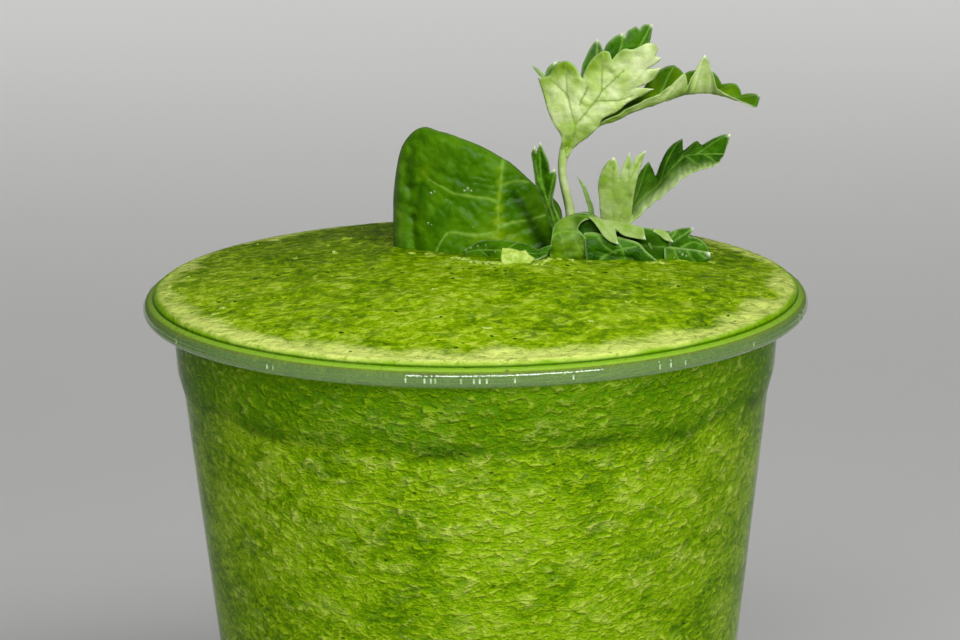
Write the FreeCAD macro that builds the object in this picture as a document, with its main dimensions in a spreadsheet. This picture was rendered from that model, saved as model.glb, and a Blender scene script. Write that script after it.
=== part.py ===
import FreeCAD, Part
import math
import os

import Sketcher
from FreeCAD import Vector

# Green smoothie in its clear cold-drink cup, topped with basil and parsley.
# Millimetres, +Z up, origin at the middle of the cup's foot, -Y is the front.
# Leaves are drawn as (to the right, to the back, above the crown of the drink) at the drawn size
# named with them. They grow or shrink with their own size in the sheet, about their own foot.

SHEET = "Sizes"

SIZES = [
    ("cupHeight", 120.0, "foot to the top of the lip"),
    ("rimRadius", 49.0, "widest part of the rolled lip"),
    ("lipWidth", 4.2, "from the cup's wall out to the lip's edge"),
    ("beadRadius", 1.4, "outer round of the lip"),
    ("lipRound", 1.3, "turn from the wall into the lip"),
    ("curlReach", 1.2, "how far the lip curls back under itself"),
    ("wallThickness", 0.45, "plastic of wall and lip"),
    ("bandHeight", 10.6, "stacking band under the lip"),
    ("bandTaper", 0.5, "radius that the stacking band loses"),
    ("shoulderHeight", 3.5, "step below the stacking band"),
    ("shoulderDepth", 0.9, "radius that the step loses"),
    ("footRadius", 32.3, "outer radius at the foot"),
    ("footRound", 1.5, "round between wall and foot"),
    ("footWidth", 3.0, "flat ring that the cup stands on"),
    ("baseRaise", 2.5, "how far the middle of the base is pushed up"),
    ("baseSlope", 1.5, "run of the slope up to the raised middle"),
    ("floorThickness", 0.8, "plastic of the base"),
    ("pourInset", 2.4, "from the lip's edge to the edge of the drink"),
    ("pourEdge", 0.8, "height of the drink's rounded edge on the lip"),
    ("pourEdgeInset", 0.6, "how far that edge leans in"),
    ("crownHeight", 4.2, "crown of the drink above the lip"),
    ("leafThickness", 0.6, "all the leaves"),
    ("stalkRadius", 0.75, "main stalk of the parsley"),
    ("stemRadius", 0.5, "side stems of the parsley"),
    ("sprigHeight", 33.5, "highest parsley tooth above the crown"),
    ("basilHeight", 17.5, "top of the basil leaf above the crown"),
    ("frontLeafLength", 22.2, "lying parsley leaf, from end to end"),
    ("stripLength", 12.0, "lying strip of leaf, from end to end"),
]

STALK_SIDES = 8
FOLD_STEPS = 4
SHELL_HALF_LENGTH = 60.0
JOIN_TOLERANCE = 0.001


class Size:
    """A length, together with the sheet expression that gives it."""

    def __init__(self, value, text):
        self.value = value
        self.text = text

    def __add__(self, other):
        return Size(self.value + other.value, f"({self.text} + {other.text})")

    def __sub__(self, other):
        return Size(self.value - other.value, f"({self.text} - {other.text})")

    def __mul__(self, other):
        return Size(self.value * other.value, f"({self.text} * {other.text})")

    def __truediv__(self, other):
        return Size(self.value / other.value, f"({self.text} / {other.text})")


ZERO = Size(0.0, "0")
TWO = Size(2.0, "2")


def make_sheet(doc):
    sheet = doc.addObject("Spreadsheet::Sheet", SHEET)
    for row, (name, value, note) in enumerate(SIZES, start=1):
        sheet.set(f"A{row}", note)
        sheet.set(f"B{row}", str(value))
        sheet.setAlias(f"B{row}", name)
    doc.recompute()
    return {name: Size(float(sheet.get(name)), f"{SHEET}.{name}") for name, _, _ in SIZES}


# Turned pieces: the cup, and the drink that fills it. Corners are (radius, height).


def outer_wall(size):
    """Outer side of the wall, from the foot's round up to the turn of the lip."""
    wall_top = size["rimRadius"] - size["lipWidth"]
    band_foot = wall_top - size["bandTaper"]
    band_low = size["cupHeight"] - size["bandHeight"]
    return [
        (size["footRadius"], size["footRound"]),
        (band_foot - size["shoulderDepth"], band_low - size["shoulderHeight"]),
        (band_foot, band_low),
        (wall_top, size["cupHeight"] - size["lipRound"]),
    ]


def hollow(size):
    """Inner side of base and wall, from the axis out and up to the turn of the lip."""
    foot_inner = size["footRadius"] - size["footRound"] - size["footWidth"]
    raised = size["baseRaise"] + size["floorThickness"]
    base = [
        (ZERO, raised),
        (foot_inner - size["baseSlope"], raised),
        (foot_inner, size["floorThickness"]),
        (size["footRadius"] - size["footRound"], size["floorThickness"]),
    ]
    wall = [(radius - size["wallThickness"], height) for radius, height in outer_wall(size)]
    return base + wall


def lip_start(size):
    """Where the flat top of the lip begins, past the turn from the wall."""
    return hollow(size)[-1][0] + size["lipRound"]


def cup_outline(size):
    """The cup's half section: its corners, and the arcs that leave some of them.

    An arc is given as corner index: (radius, whether its centre lies on the left of the way).
    """
    wall = size["wallThickness"]
    top = size["cupHeight"]
    bead = size["beadRadius"]
    bead_middle = size["rimRadius"] - bead
    bead_level = top - bead
    curl_low = bead_level - bead
    curl_end = bead_middle - size["curlReach"]
    foot_inner = size["footRadius"] - size["footRound"] - size["footWidth"]
    corners = [
        (ZERO, size["baseRaise"]),
        (foot_inner - size["baseSlope"], size["baseRaise"]),
        (foot_inner, ZERO),
        (size["footRadius"] - size["footRound"], ZERO),
    ]
    arcs = {len(corners) - 1: (size["footRound"], True)}
    corners += outer_wall(size)
    arcs[len(corners) - 1] = (size["lipRound"] - wall, False)
    corners += [(lip_start(size), top - wall), (bead_middle, top - wall)]
    arcs[len(corners) - 1] = (bead - wall, False)
    corners.append((size["rimRadius"] - wall, bead_level))
    arcs[len(corners) - 1] = (bead - wall, False)
    corners += [
        (bead_middle, curl_low + wall),
        (curl_end, curl_low + wall),
        (curl_end, curl_low),
        (bead_middle, curl_low),
    ]
    arcs[len(corners) - 1] = (bead, True)
    corners.append((size["rimRadius"], bead_level))
    arcs[len(corners) - 1] = (bead, True)
    corners += [(bead_middle, top), (lip_start(size), top)]
    arcs[len(corners) - 1] = (size["lipRound"], True)
    corners += reversed(hollow(size))
    return corners, arcs


def drink_outline(size):
    """The drink's half section: it fills the cup, lies on the lip and domes above it."""
    top = size["cupHeight"]
    edge = size["rimRadius"] - size["pourInset"]
    corners = hollow(size)
    arcs = {len(corners) - 1: (size["lipRound"], False)}
    corners += [(lip_start(size), top), (edge, top)]
    arcs[len(corners) - 1] = (size["pourEdge"], True)
    corners.append((edge - size["pourEdgeInset"], top + size["pourEdge"]))
    arcs[len(corners) - 1] = (crown_round(size), True)
    corners.append((ZERO, top + size["crownHeight"]))
    return corners, arcs


def crown_round(size):
    """Radius of the ball that the domed top of the drink is cut from."""
    half_width = size["rimRadius"] - size["pourInset"] - size["pourEdgeInset"]
    rise = size["crownHeight"] - size["pourEdge"]
    return (half_width * half_width + rise * rise) / (TWO * rise)


def arc_edge(start, end, radius, centre_left):
    """Arc of a circle between two corners, and which of its ends lies at the start."""
    middle = (start + end) * 0.5
    half_chord = (end - start).Length / 2
    left = Vector(start.y - end.y, end.x - start.x, 0).normalize()
    reach = math.sqrt(radius**2 - half_chord**2)
    centre = middle + left * (reach if centre_left else -reach)
    first, last = (start, end) if centre_left else (end, start)
    angles = [math.atan2(point.y - centre.y, point.x - centre.x) for point in (first, last)]
    circle = Part.Circle(centre, Vector(0, 0, 1), radius)
    return Part.ArcOfCircle(circle, *angles), 1 if centre_left else 2


def bind(sketch, constraint, text):
    index = sketch.addConstraint(constraint)
    sketch.setExpression(f"Constraints[{index}]", text)


def place_corner(sketch, edge, end, corner):
    """Ties an edge's end to its corner: on the axes where a coordinate is zero."""
    radius, height = corner
    for kind, axis, length in (("DistanceX", -2, radius), ("DistanceY", -1, height)):
        if length is ZERO:
            sketch.addConstraint(Sketcher.Constraint("PointOnObject", edge, end, axis))
        else:
            bind(sketch, Sketcher.Constraint(kind, -1, 1, edge, end, length.value), length.text)


def turned_body(doc, name, outline):
    """A body turned from a half section whose corners and arcs are bound to the sheet."""
    corners, arcs = outline
    body = doc.addObject("PartDesign::Body", name)
    plane = next(item for item in body.Origin.OriginFeatures if item.Role == "XZ_Plane")
    sketch = body.newObject("Sketcher::SketchObject", name + "Section")
    sketch.AttachmentSupport = [(plane, "")]
    sketch.MapMode = "FlatFace"
    places = [Vector(radius.value, height.value, 0) for radius, height in corners]
    starts = []
    for index, place in enumerate(places):
        following = places[(index + 1) % len(places)]
        if index in arcs:
            radius, centre_left = arcs[index]
            arc, start = arc_edge(place, following, radius.value, centre_left)
            edge = sketch.addGeometry(arc, False)
            bind(sketch, Sketcher.Constraint("Radius", edge, radius.value), radius.text)
        else:
            start = 1
            edge = sketch.addGeometry(Part.LineSegment(place, following), False)
        starts.append((edge, start))
    for index, (edge, start) in enumerate(starts):
        before, before_start = starts[index - 1]
        joint = Sketcher.Constraint("Coincident", before, 3 - before_start, edge, start)
        sketch.addConstraint(joint)
        place_corner(sketch, edge, start, corners[index])
    turn = body.newObject("PartDesign::Revolution", name + "Turn")
    turn.Profile = sketch
    turn.ReferenceAxis = (sketch, ["V_Axis"])
    turn.Angle = 360
    sketch.Visibility = False
    return body


# Leaves. A fold is a grid of points given a thickness. A curved blade is its outline, seen from
# the front and cut out of a round shell of the leaf's thickness.


def smooth_point(line, place):
    """Point on the smooth curve through the points of line; place counts along them."""
    last = len(line) - 1
    index = min(int(place), last - 1)
    share = place - index
    before, start = line[max(index - 1, 0)], line[index]
    end, after = line[index + 1], line[min(index + 2, last)]
    start_pull = (end - before) * 0.5
    end_pull = (after - start) * 0.5
    square, cube = share**2, share**3
    return (
        start * (2 * cube - 3 * square + 1)
        + start_pull * (cube - 2 * square + share)
        + end * (3 * square - 2 * cube)
        + end_pull * (cube - square)
    )


def closed_solid(points, faces):
    """Solid inside a closed skin of triangles."""
    shell = Part.Shape()
    shell.makeShapeFromMesh((points, faces), JOIN_TOLERANCE)
    solid = Part.makeSolid(shell)
    if solid.Volume < 0:
        solid.reverse()
    return solid


def fold_solid(lines, steps, offset):
    """A leaf whose edges and midrib are lines from end to end, thickened along offset."""
    spans = len(lines) - 1
    width = len(lines[0])
    rows = [
        [smooth_point(list(column), spans * step / steps) for column in zip(*lines)]
        for step in range(steps + 1)
    ]
    points = [point + offset * side for side in (0.5, -0.5) for row in rows for point in row]
    back = len(rows) * width
    faces = []
    for row in range(steps):
        for column in range(width - 1):
            near = row * width + column
            far = near + width
            faces += [(near, near + 1, far + 1), (near, far + 1, far)]
            near, far = near + back, far + back
            faces += [(near, far + 1, near + 1), (near, far, far + 1)]
    border = list(range(width))
    border += [row * width + width - 1 for row in range(1, steps + 1)]
    border += [steps * width + column for column in range(width - 2, -1, -1)]
    border += [row * width for row in range(steps - 1, 0, -1)]
    for index, start in enumerate(border):
        end = border[(index + 1) % len(border)]
        faces += [(start, start + back, end + back), (start, end + back, end)]
    return closed_solid(points, faces)


def stalk_solid(path, radii):
    """A round stalk along path, with its own radius at each of the path's points."""
    last = len(path) - 1
    side = (path[-1] - path[0]).cross(Vector(0, 1, 0)).normalize()
    points = []
    for index, (middle, radius) in enumerate(zip(path, radii)):
        along = (path[min(index + 1, last)] - path[max(index - 1, 0)]).normalize()
        depth = along.cross(side).normalize()
        width = depth.cross(along).normalize()
        for corner in range(STALK_SIDES):
            angle = 2 * math.pi * corner / STALK_SIDES
            points.append(middle + (width * math.cos(angle) + depth * math.sin(angle)) * radius)
    faces = []
    for index in range(last):
        for corner in range(STALK_SIDES):
            near = index * STALK_SIDES + corner
            beside = index * STALK_SIDES + (corner + 1) % STALK_SIDES
            far, far_beside = near + STALK_SIDES, beside + STALK_SIDES
            faces += [(near, beside, far_beside), (near, far_beside, far)]
    top = last * STALK_SIDES
    for corner in range(1, STALK_SIDES - 1):
        faces.append((0, corner + 1, corner))
        faces.append((top, top + corner, top + corner + 1))
    return closed_solid(points, faces)


class Garnish:
    """Turns the points that a leaf is drawn with into places above the drink's crown.

    foot is the place, (to the right, to the back), that stays as the leaf grows. On the
    surface, a point's height counts from the domed top of the drink below it.
    """

    def __init__(self, size, drawn, reach, foot, on_surface=False):
        self.crown = size["cupHeight"].value + size["crownHeight"].value
        self.ball = crown_round(size).value
        self.thickness = size["leafThickness"]
        self.share = reach.value / drawn
        self.foot = foot
        self.on_surface = on_surface

    def place(self, point):
        right = self.foot[0] + (point[0] - self.foot[0]) * self.share
        back = self.foot[1] + (point[1] - self.foot[1]) * self.share
        level = self.crown
        if self.on_surface:
            level -= self.ball - math.sqrt(self.ball**2 - right**2 - back**2)
        return Vector(right, back, level + point[2] * self.share)

    def line(self, points):
        return [self.place(point) for point in points]


def leaf_feature(doc, name, shape):
    feature = doc.addObject("Part::Feature", name)
    feature.Shape = shape
    return feature


def folded_leaf(doc, name, above, lines, steps, facing):
    offset = Vector(*facing).normalize() * above.thickness.value
    solid = fold_solid([above.line(line) for line in lines], steps, offset)
    return leaf_feature(doc, name, solid)


def curved_blade(doc, name, above, outline, depth, bend):
    """A blade cut from a round shell: outline is (to the right, above the crown).

    depth is the nearest and the farthest place that the cut reaches to the back. bend gives
    the shell's radius, a place on its axis and the way that the axis runs.
    """
    near, far = depth
    corners = [above.place((right, near, up)) for right, up in outline]
    face = Part.Face(Part.makePolygon(corners + corners[:1]))
    cutter = doc.addObject("Part::Extrusion", name + "_cutter")
    cutter.Base = leaf_feature(doc, name + "_outline", face)
    cutter.DirMode = "Custom"
    cutter.Dir = Vector(0, 1, 0)
    cutter.LengthFwd = (far - near) * above.share
    cutter.Solid = True
    radius, middle, way = bend
    axis = Vector(*way).normalize()
    foot = above.place(middle) - axis * SHELL_HALF_LENGTH
    shell = doc.addObject("Part::Cut", name + "_shell")
    rounds = []
    for side, sign in (("outer", "+"), ("inner", "-")):
        wall = doc.addObject("Part::Cylinder", f"{name}_{side}")
        wall.Height = 2 * SHELL_HALF_LENGTH
        wall.setExpression("Radius", f"{radius * above.share} {sign} {above.thickness.text} / 2")
        wall.Placement = FreeCAD.Placement(foot, FreeCAD.Rotation(Vector(0, 0, 1), axis))
        rounds.append(wall)
    shell.Base, shell.Tool = rounds
    blade = doc.addObject("Part::Common", name)
    blade.Base = cutter
    blade.Tool = shell
    return blade


def basil_leaf(doc, size):
    """A glossy cupped leaf that stands with its lower edge pressed into the drink."""
    drawn_height = 17.5
    above = Garnish(size, drawn_height, size["basilHeight"], (12.8, 7.4))
    outline = [(-12.5, 0.5), (-10, -0.5), (-5.5, -2.5), (-1, -3), (11, -3), (12.8, -2),
               (12.5, 2), (12, 4.5), (11, 7), (9, 9.5), (6.5, 11.5), (3.5, 13.5), (1.5, 15),
               (-2.5, 16.5), (-5, 17.2), (-7.5, 17.5), (-9.5, 16), (-11, 13.5), (-12, 9),
               (-12.5, 5)]
    bend = (17, (5, 22.5, 0), (0, 0.1, 1))
    return curved_blade(doc, "basil_leaf", above, outline, (0, 22.5), bend)


def top_leaf(doc, above):
    """Topmost leaf of the sprig, folded behind itself: its front wing and its back wing."""
    front = [(13.2, 15.5), (13, 16.5), (11, 22.5), (10, 26), (9, 27), (11, 26.8), (12.5, 28.5),
             (14, 29), (15.5, 28), (16, 26), (17, 28.5), (18.5, 30), (20, 30), (22, 31),
             (23.5, 31), (25.5, 31.5), (27, 31.5), (27.5, 30), (26.5, 29), (27.5, 28),
             (26, 26.5), (23, 25.5), (26.5, 25.5), (24.5, 23.5), (21.5, 21), (18.5, 19),
             (15, 16.2), (14.2, 15.2)]
    back = [(13.8, 15.5), (16, 26), (16.5, 28.5), (18.5, 31), (19, 29.5), (20.5, 31.5),
            (22, 32), (22.5, 31), (24, 32.5), (25, 32.5), (26.5, 33.5), (26, 31), (26, 28),
            (24.5, 24), (19, 19), (14.6, 15.5)]
    front_bend = (14, (13.7, 20, 16), (0.45, -0.25, 0.87))
    back_bend = (25, (13.7, 31.5, 16), (0.35, 0.2, 0.9))
    return [
        curved_blade(doc, "top_front", above, front, (-3, 12), front_bend),
        curved_blade(doc, "top_back", above, back, (3, 16), back_bend),
    ]


def right_branch(doc, above):
    """Leaf that runs out to the right as a gutter: front edge, midrib, back edge."""
    front = [(18.5, 5, 19.3), (21.5, 3, 21.5), (24, 1.2, 23.5), (28, 0, 25.5), (30.5, -1, 28),
             (31.5, 2, 25.5), (32.5, 1, 28), (34, 0, 30.5), (35, 2, 28.5), (35.9, 3.4, 24.8),
             (37.5, 5, 23.8), (41.5, 5.3, 21.6)]
    rib = [(18.5, 5.6, 19), (21, 5.5, 19.9), (23.5, 5.5, 21), (26.5, 5.5, 22), (29, 5.5, 23.2),
           (31, 5.7, 23.5), (32.6, 5.8, 23.7), (34, 5.9, 23.8), (35.2, 6, 23.8),
           (36.4, 6.2, 23.6), (39, 6.5, 22.8), (42, 6.3, 21.6)]
    back = [(18.5, 6.2, 19.5), (21.5, 7, 21), (24.5, 8, 22.5), (27, 9, 25), (29, 10, 26.5),
            (30.5, 11, 27), (32, 9, 25.5), (33.7, 10, 26.5), (35, 9, 24.5), (37.5, 10, 24.2),
            (39.5, 8, 23), (42.5, 8, 22.8)]
    return folded_leaf(doc, "branch", above, [front, rib, back], FOLD_STEPS, (0, 0, 1))


def middle_leaf(doc, above):
    """Leaf lower on the right: a pale fan of three teeth, and a gutter that runs out."""
    fan = [(20.5, 1.5), (19, 5), (18.5, 8.5), (19, 10.5), (20.5, 13.5), (21.3, 12.5),
           (21.5, 10.5), (22, 12), (23, 14.5), (23.5, 13), (25.5, 14.5), (25, 13), (24.5, 10.5),
           (23.5, 6.5), (23, 3.5), (22, 1.5)]
    front = [(22.2, 7.6, 3.5), (24.5, 7.4, 5), (25.5, 7, 6), (27, 6.5, 7.5), (28.5, 6, 8.8),
             (31, 5.2, 11), (32.5, 4.6, 12), (34, 4, 13), (35, 4, 13.2), (36.5, 4.5, 13.5)]
    rib = [(22.2, 8.4, 3.2), (23.6, 8.5, 4.5), (25, 8.5, 5.9), (26.5, 8.5, 7.2), (28.3, 8.6, 8.8),
           (30, 8.7, 10.4), (31.5, 8.8, 11.6), (33.2, 8.6, 12.6), (35, 8, 13.3), (37, 7.2, 13.9)]
    back = [(22.4, 9.2, 3.9), (24, 11, 9), (26.5, 13, 12), (27.5, 11.5, 10.5), (29.5, 13, 14),
            (31.3, 14, 15.5), (31.8, 12, 13.5), (33.5, 12.5, 15), (34.8, 11.5, 14.5),
            (38.5, 9, 17)]
    fan_bend = (9, (21.5, 16.5, 5), (0.12, -0.1, 1))
    return [
        curved_blade(doc, "middle_fan", above, fan, (2, 13), fan_bend),
        folded_leaf(doc, "middle_gutter", above, [front, rib, back], FOLD_STEPS, (0, 0, 1)),
    ]


def small_blades(doc, above):
    """Two narrow blades beside the stalk, the front one with three teeth."""
    front = [(11.4, -1), (11, 2.5), (10, 9), (9, 11.5), (8.5, 16), (9, 17), (9.4, 16),
             (9.7, 18), (10.5, 15.5), (11, 13), (12, 13.7), (12, 12), (11.7, 9), (12.4, 6.5),
             (12.2, 3), (12.2, -1)]
    back = [(16.8, -1), (17.1, 5), (16.7, 7), (16.1, 9), (15.4, 10.6), (16.6, 9.2),
            (17.4, 7.2), (18, 5), (18.2, -1)]
    front_bend = (12, (10.5, 14.5, 5), (0, 0.05, 1))
    back_bend = (12, (17, 22, 5), (0.1, 0, 1))
    return [
        curved_blade(doc, "front_blade", above, front, (0, 6), front_bend),
        curved_blade(doc, "back_blade", above, back, (8, 12), back_bend),
    ]


def sprig_stalks(doc, above, size):
    """Stalk of the sprig, and the stems that join its leaves under the drink's surface."""
    thick = size["stalkRadius"].value
    thin = size["stemRadius"].value
    stalks = {
        "stalk": ([(15.5, 9, -9), (15.3, 9, -2), (15, 8.5, 3.5), (14.5, 8, 6.5), (13.5, 7, 10),
                   (13.1, 6.5, 12.5), (13.4, 6, 15), (13.9, 5.9, 16.8)],
                  [1.3, 1.2, 1.15, 1.0, 0.95, 0.9, 1.0, 1.2], thick),
        "branch_stem": ([(13.6, 6.1, 15.5), (16, 6, 17.4), (18.5, 5.7, 19.2), (20.5, 5.5, 20)],
                        [1, 1, 1, 1], thin),
        "middle_stem": ([(15.4, 9, -4), (17.5, 9, -1.5), (20, 8.6, 1.2), (21.8, 8.2, 3.4),
                         (23.6, 8.4, 4.9)],
                        [1, 1, 1.1, 1.3, 1.3], thin),
        "front_stem": ([(15.4, 9, -5), (13.7, 6, -4), (12, 3.2, -2.5), (11.8, 2.7, 1)],
                       [1, 1, 1, 1], thin),
        "back_stem": ([(15.4, 9, -3), (17, 9.9, -1), (17.6, 10.1, 3)], [1, 1, 0.9], thin),
    }
    return [
        leaf_feature(doc, name, stalk_solid(above.line(path), [part * radius for part in parts]))
        for name, (path, parts, radius) in stalks.items()
    ]


def parsley_sprig(doc, size):
    """The standing sprig: its stalks and leaves fused into one piece."""
    drawn_height = 33.5
    above = Garnish(size, drawn_height, size["sprigHeight"], (14, 7))
    sprig = doc.addObject("Part::MultiFuse", "parsley_sprig")
    sprig.Shapes = [
        *top_leaf(doc, above),
        right_branch(doc, above),
        *middle_leaf(doc, above),
        *small_blades(doc, above),
        *sprig_stalks(doc, above, size),
    ]
    return sprig


def front_leaf(doc, size):
    """Parsley leaf that lies in front of the stalk, with lobes turned over its top edge."""
    drawn_length = 22.2
    above = Garnish(size, drawn_length, size["frontLeafLength"], (12.8, 3), on_surface=True)
    front = [(12.8, 3, 1.2), (14, 2.5, 0.5), (17.5, 2.5, -0.3), (21.5, 2, -0.5),
             (25.5, 3.3, -0.5), (28, 3, -0.5), (31.5, 4, -0.5), (34, 6.5, -0.4), (35, 8, 0.2)]
    rib = [(12.9, 3.5, 3), (14.5, 3.2, 3.8), (17, 3, 3.7), (20, 3, 3.1), (24, 4, 2.2),
           (26.5, 4.6, 1.8), (29, 5.3, 1.5), (32, 6.8, 1), (35, 8.4, 0.5)]
    back = [(13.2, 4.5, 4.6), (13.8, 5.2, 5.7), (15, 5.6, 6.2), (17.5, 6, 5.9), (20.5, 6, 5.2),
            (25, 6.6, 4), (28.5, 7.6, 3.3), (33, 9, 3.2), (35, 8.8, 0.9)]
    lobe_tops = [(17, 6, 6.1), (19, 6.1, 5.8), (20.5, 6.1, 5.5), (22.5, 6.2, 5), (25, 6.6, 4.3)]
    lobe_tips = [(18, 3.4, 5.3), (20.5, 0.8, 4.3), (20.8, 3, 5), (24.3, 1, 4), (25.2, 3.8, 4.4)]
    leaf = doc.addObject("Part::MultiFuse", "front_leaf")
    leaf.Shapes = [
        folded_leaf(doc, "lying_blade", above, [front, rib, back], FOLD_STEPS, (0, -1, 1)),
        folded_leaf(doc, "turned_lobes", above, [lobe_tips, lobe_tops], 2, (0, -0.3, 1)),
    ]
    return leaf


def leaf_strip(doc, size):
    """Narrow dark strip of leaf that lies in front of the basil."""
    drawn_length = 12.0
    above = Garnish(size, drawn_length, size["stripLength"], (10.4, 1.1), on_surface=True)
    front = [(-1.6, 4.4, -0.4), (0.5, 3.6, -0.5), (2, 2.4, -0.5), (3.6, 0.2, -0.5),
             (5.2, 0, -0.5), (7.5, 0.2, -0.4), (9.3, 0.2, -0.2), (10.3, 0.6, 0.2)]
    back = [(-1.6, 5, 0.3), (-0.3, 4.8, 1), (1, 4.6, 1.7), (3.2, 4.2, 1.9), (5.5, 3.8, 1.8),
            (7.8, 2.8, 1.6), (9.4, 1.6, 1), (10.4, 1.1, 0.9)]
    return folded_leaf(doc, "leaf_strip", above, [front, back], 2, (0, -0.6, 1))


def smoothie(doc, size, garnish):
    """The drink with a place for every leaf and stalk that stands or lies in it."""
    fill = turned_body(doc, "fill", drink_outline(size))
    tools = doc.addObject("Part::MultiFuse", "garnish")
    tools.Shapes = garnish
    drink = doc.addObject("Part::Cut", "smoothie")
    drink.Base = fill
    drink.Tool = tools
    return drink


def check(doc, nodes):
    for item in doc.Objects:
        if "Invalid" in item.State or "Error" in item.State:
            raise RuntimeError(f"{item.Label} could not be worked out")
    for node in nodes:
        shape = node.Shape
        if shape.isNull() or not shape.isValid() or len(shape.Solids) != 1:
            raise RuntimeError(f"{node.Label} is not one sound solid")
        print(f"{node.Label}: {shape.Volume:.1f} mm3, {len(shape.Faces)} faces")


def main():
    doc = FreeCAD.newDocument("GreenSmoothie")
    size = make_sheet(doc)
    cup = turned_body(doc, "cup", cup_outline(size))
    garnish = [
        basil_leaf(doc, size),
        parsley_sprig(doc, size),
        front_leaf(doc, size),
        leaf_strip(doc, size),
    ]
    drink = smoothie(doc, size, garnish)
    nodes = [cup, drink, *garnish]
    for node in nodes:
        node.Placement = FreeCAD.Placement()
    doc.recompute()
    check(doc, nodes)
    os.makedirs("parts", exist_ok=True)
    for node in nodes:
        node.Shape.exportStep(f"parts/{node.Label}.step")


main()
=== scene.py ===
import math
import random

import bpy
import numpy as np
from mathutils import Matrix, Vector, noise
from mathutils.geometry import delaunay_2d_cdt


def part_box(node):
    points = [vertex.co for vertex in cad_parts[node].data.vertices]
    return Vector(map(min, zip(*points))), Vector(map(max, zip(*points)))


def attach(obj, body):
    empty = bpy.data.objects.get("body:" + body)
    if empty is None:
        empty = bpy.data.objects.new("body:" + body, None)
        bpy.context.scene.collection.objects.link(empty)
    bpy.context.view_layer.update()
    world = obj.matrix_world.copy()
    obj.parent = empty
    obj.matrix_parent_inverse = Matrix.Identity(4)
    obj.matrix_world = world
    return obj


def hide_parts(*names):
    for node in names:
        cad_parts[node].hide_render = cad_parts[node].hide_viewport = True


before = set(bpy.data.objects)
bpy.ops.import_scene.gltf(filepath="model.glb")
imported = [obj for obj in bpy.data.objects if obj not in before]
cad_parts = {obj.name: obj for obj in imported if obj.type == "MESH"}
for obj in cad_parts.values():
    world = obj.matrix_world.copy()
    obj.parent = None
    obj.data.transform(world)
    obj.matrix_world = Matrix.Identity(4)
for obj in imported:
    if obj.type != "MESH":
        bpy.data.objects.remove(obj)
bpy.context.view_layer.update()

# Green smoothie in a clear cup, with basil and parsley on top.
# Everything is modelled in millimetres and scaled to metres when the mesh is made.
mm = 0.001
scene = bpy.context.scene
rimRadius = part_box("cup")[1].x / mm
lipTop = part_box("cup")[1].z / mm
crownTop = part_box("smoothie")[1].z / mm
# inside of the cup as a half section (radius, height), from the middle of the floor up to the lip
insideLine = [(0.0, 3.3), (26.3, 3.3), (27.8, 0.8), (30.8, 0.8), (31.85, 1.5), (42.95, 105.9), (43.85, 109.4)]
random.seed(7)


def makePiece(name, points, faces, marks=None):
    mesh = bpy.data.meshes.new(name)
    mesh.from_pydata((np.asarray(points, float) * mm).tolist(), [], faces)
    mesh.polygons.foreach_set("use_smooth", [True] * len(mesh.polygons))
    for mark, values in (marks or {}).items():
        layer = mesh.attributes.new(mark, "FLOAT", "POINT")
        layer.data.foreach_set("value", np.asarray(values, np.float32))
    mesh.update()
    piece = bpy.data.objects.new(name, mesh)
    scene.collection.objects.link(piece)
    return piece


def finishPiece(piece, material, replaced=()):
    if material:
        piece.data.materials.append(material)
    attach(piece, "root")
    if replaced:
        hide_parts(*replaced)
    print(f"  {piece.name}: {len(piece.data.polygons)} faces")
    return piece


def latheFaces(rings, segments):
    # rings of points in order, between a single point at each end
    faces = []
    for ring in range(rings - 1):
        for i in range(segments):
            a = 1 + ring * segments + i
            b = 1 + ring * segments + (i + 1) % segments
            faces.append((a, b, b + segments, a + segments))
    faces += [(0, 1 + (i + 1) % segments, 1 + i) for i in range(segments)]
    base = 1 + (rings - 1) * segments
    last = base + segments
    faces += [(base + i, base + (i + 1) % segments, last) for i in range(segments)]
    return faces


def arcPoints(centre, radius, fromDeg, toDeg, count):
    angles = np.radians(np.linspace(fromDeg, toDeg, count))
    return [(centre[0] + radius * math.cos(a), centre[1] + radius * math.sin(a)) for a in angles]


def splitLine(points, longest):
    # adds points on straight runs, so that no step is longer than asked
    out = [points[0]]
    for a, b in zip(points, points[1:]):
        steps = max(1, math.ceil(math.dist(a, b) / longest))
        for i in range(1, steps + 1):
            t = i / steps
            out.append(tuple(p + (q - p) * t for p, q in zip(a, b)))
    return out


def curveThrough(points, place):
    # smooth curve through points; place counts along them
    last = len(points) - 1
    i = min(int(place), last - 1)
    t = place - i
    a, b = points[max(i - 1, 0)], points[i]
    c, d = points[i + 1], points[min(i + 2, last)]
    return (b * (2 * t**3 - 3 * t**2 + 1) + (c - a) * 0.5 * (t**3 - 2 * t**2 + t)
            + c * (3 * t**2 - 2 * t**3) + (d - b) * 0.5 * (t**3 - t**2))


def vertexNormals(points, faces):
    normals = np.zeros_like(points)
    tri = np.asarray(faces)
    cross = np.cross(points[tri[:, 1]] - points[tri[:, 0]], points[tri[:, 2]] - points[tri[:, 0]])
    for k in range(3):
        np.add.at(normals, tri[:, k], cross)
    length = np.linalg.norm(normals, axis=1, keepdims=True)
    return normals / np.maximum(length, 1e-12)


def wave(point, size, seed):
    # slow unevenness in three octaves
    return noise.fractal(Vector((point[0] / size + seed, point[1] / size, point[2] / size)), 0.6, 2.0, 3)


def feed(tree, socket, value):
    # a number or a colour is set on the socket, an output is linked to it
    if isinstance(value, (int, float)):
        socket.default_value = value
    elif isinstance(value, tuple):
        socket.default_value = (*value, 1.0)
    else:
        tree.links.new(value, socket)


def mathNode(tree, operation, first, second):
    node = tree.nodes.new("ShaderNodeMath")
    node.operation = operation
    feed(tree, node.inputs[0], first)
    feed(tree, node.inputs[1], second)
    return node.outputs[0]


def times(tree, first, second):
    return mathNode(tree, "MULTIPLY", first, second)


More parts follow.
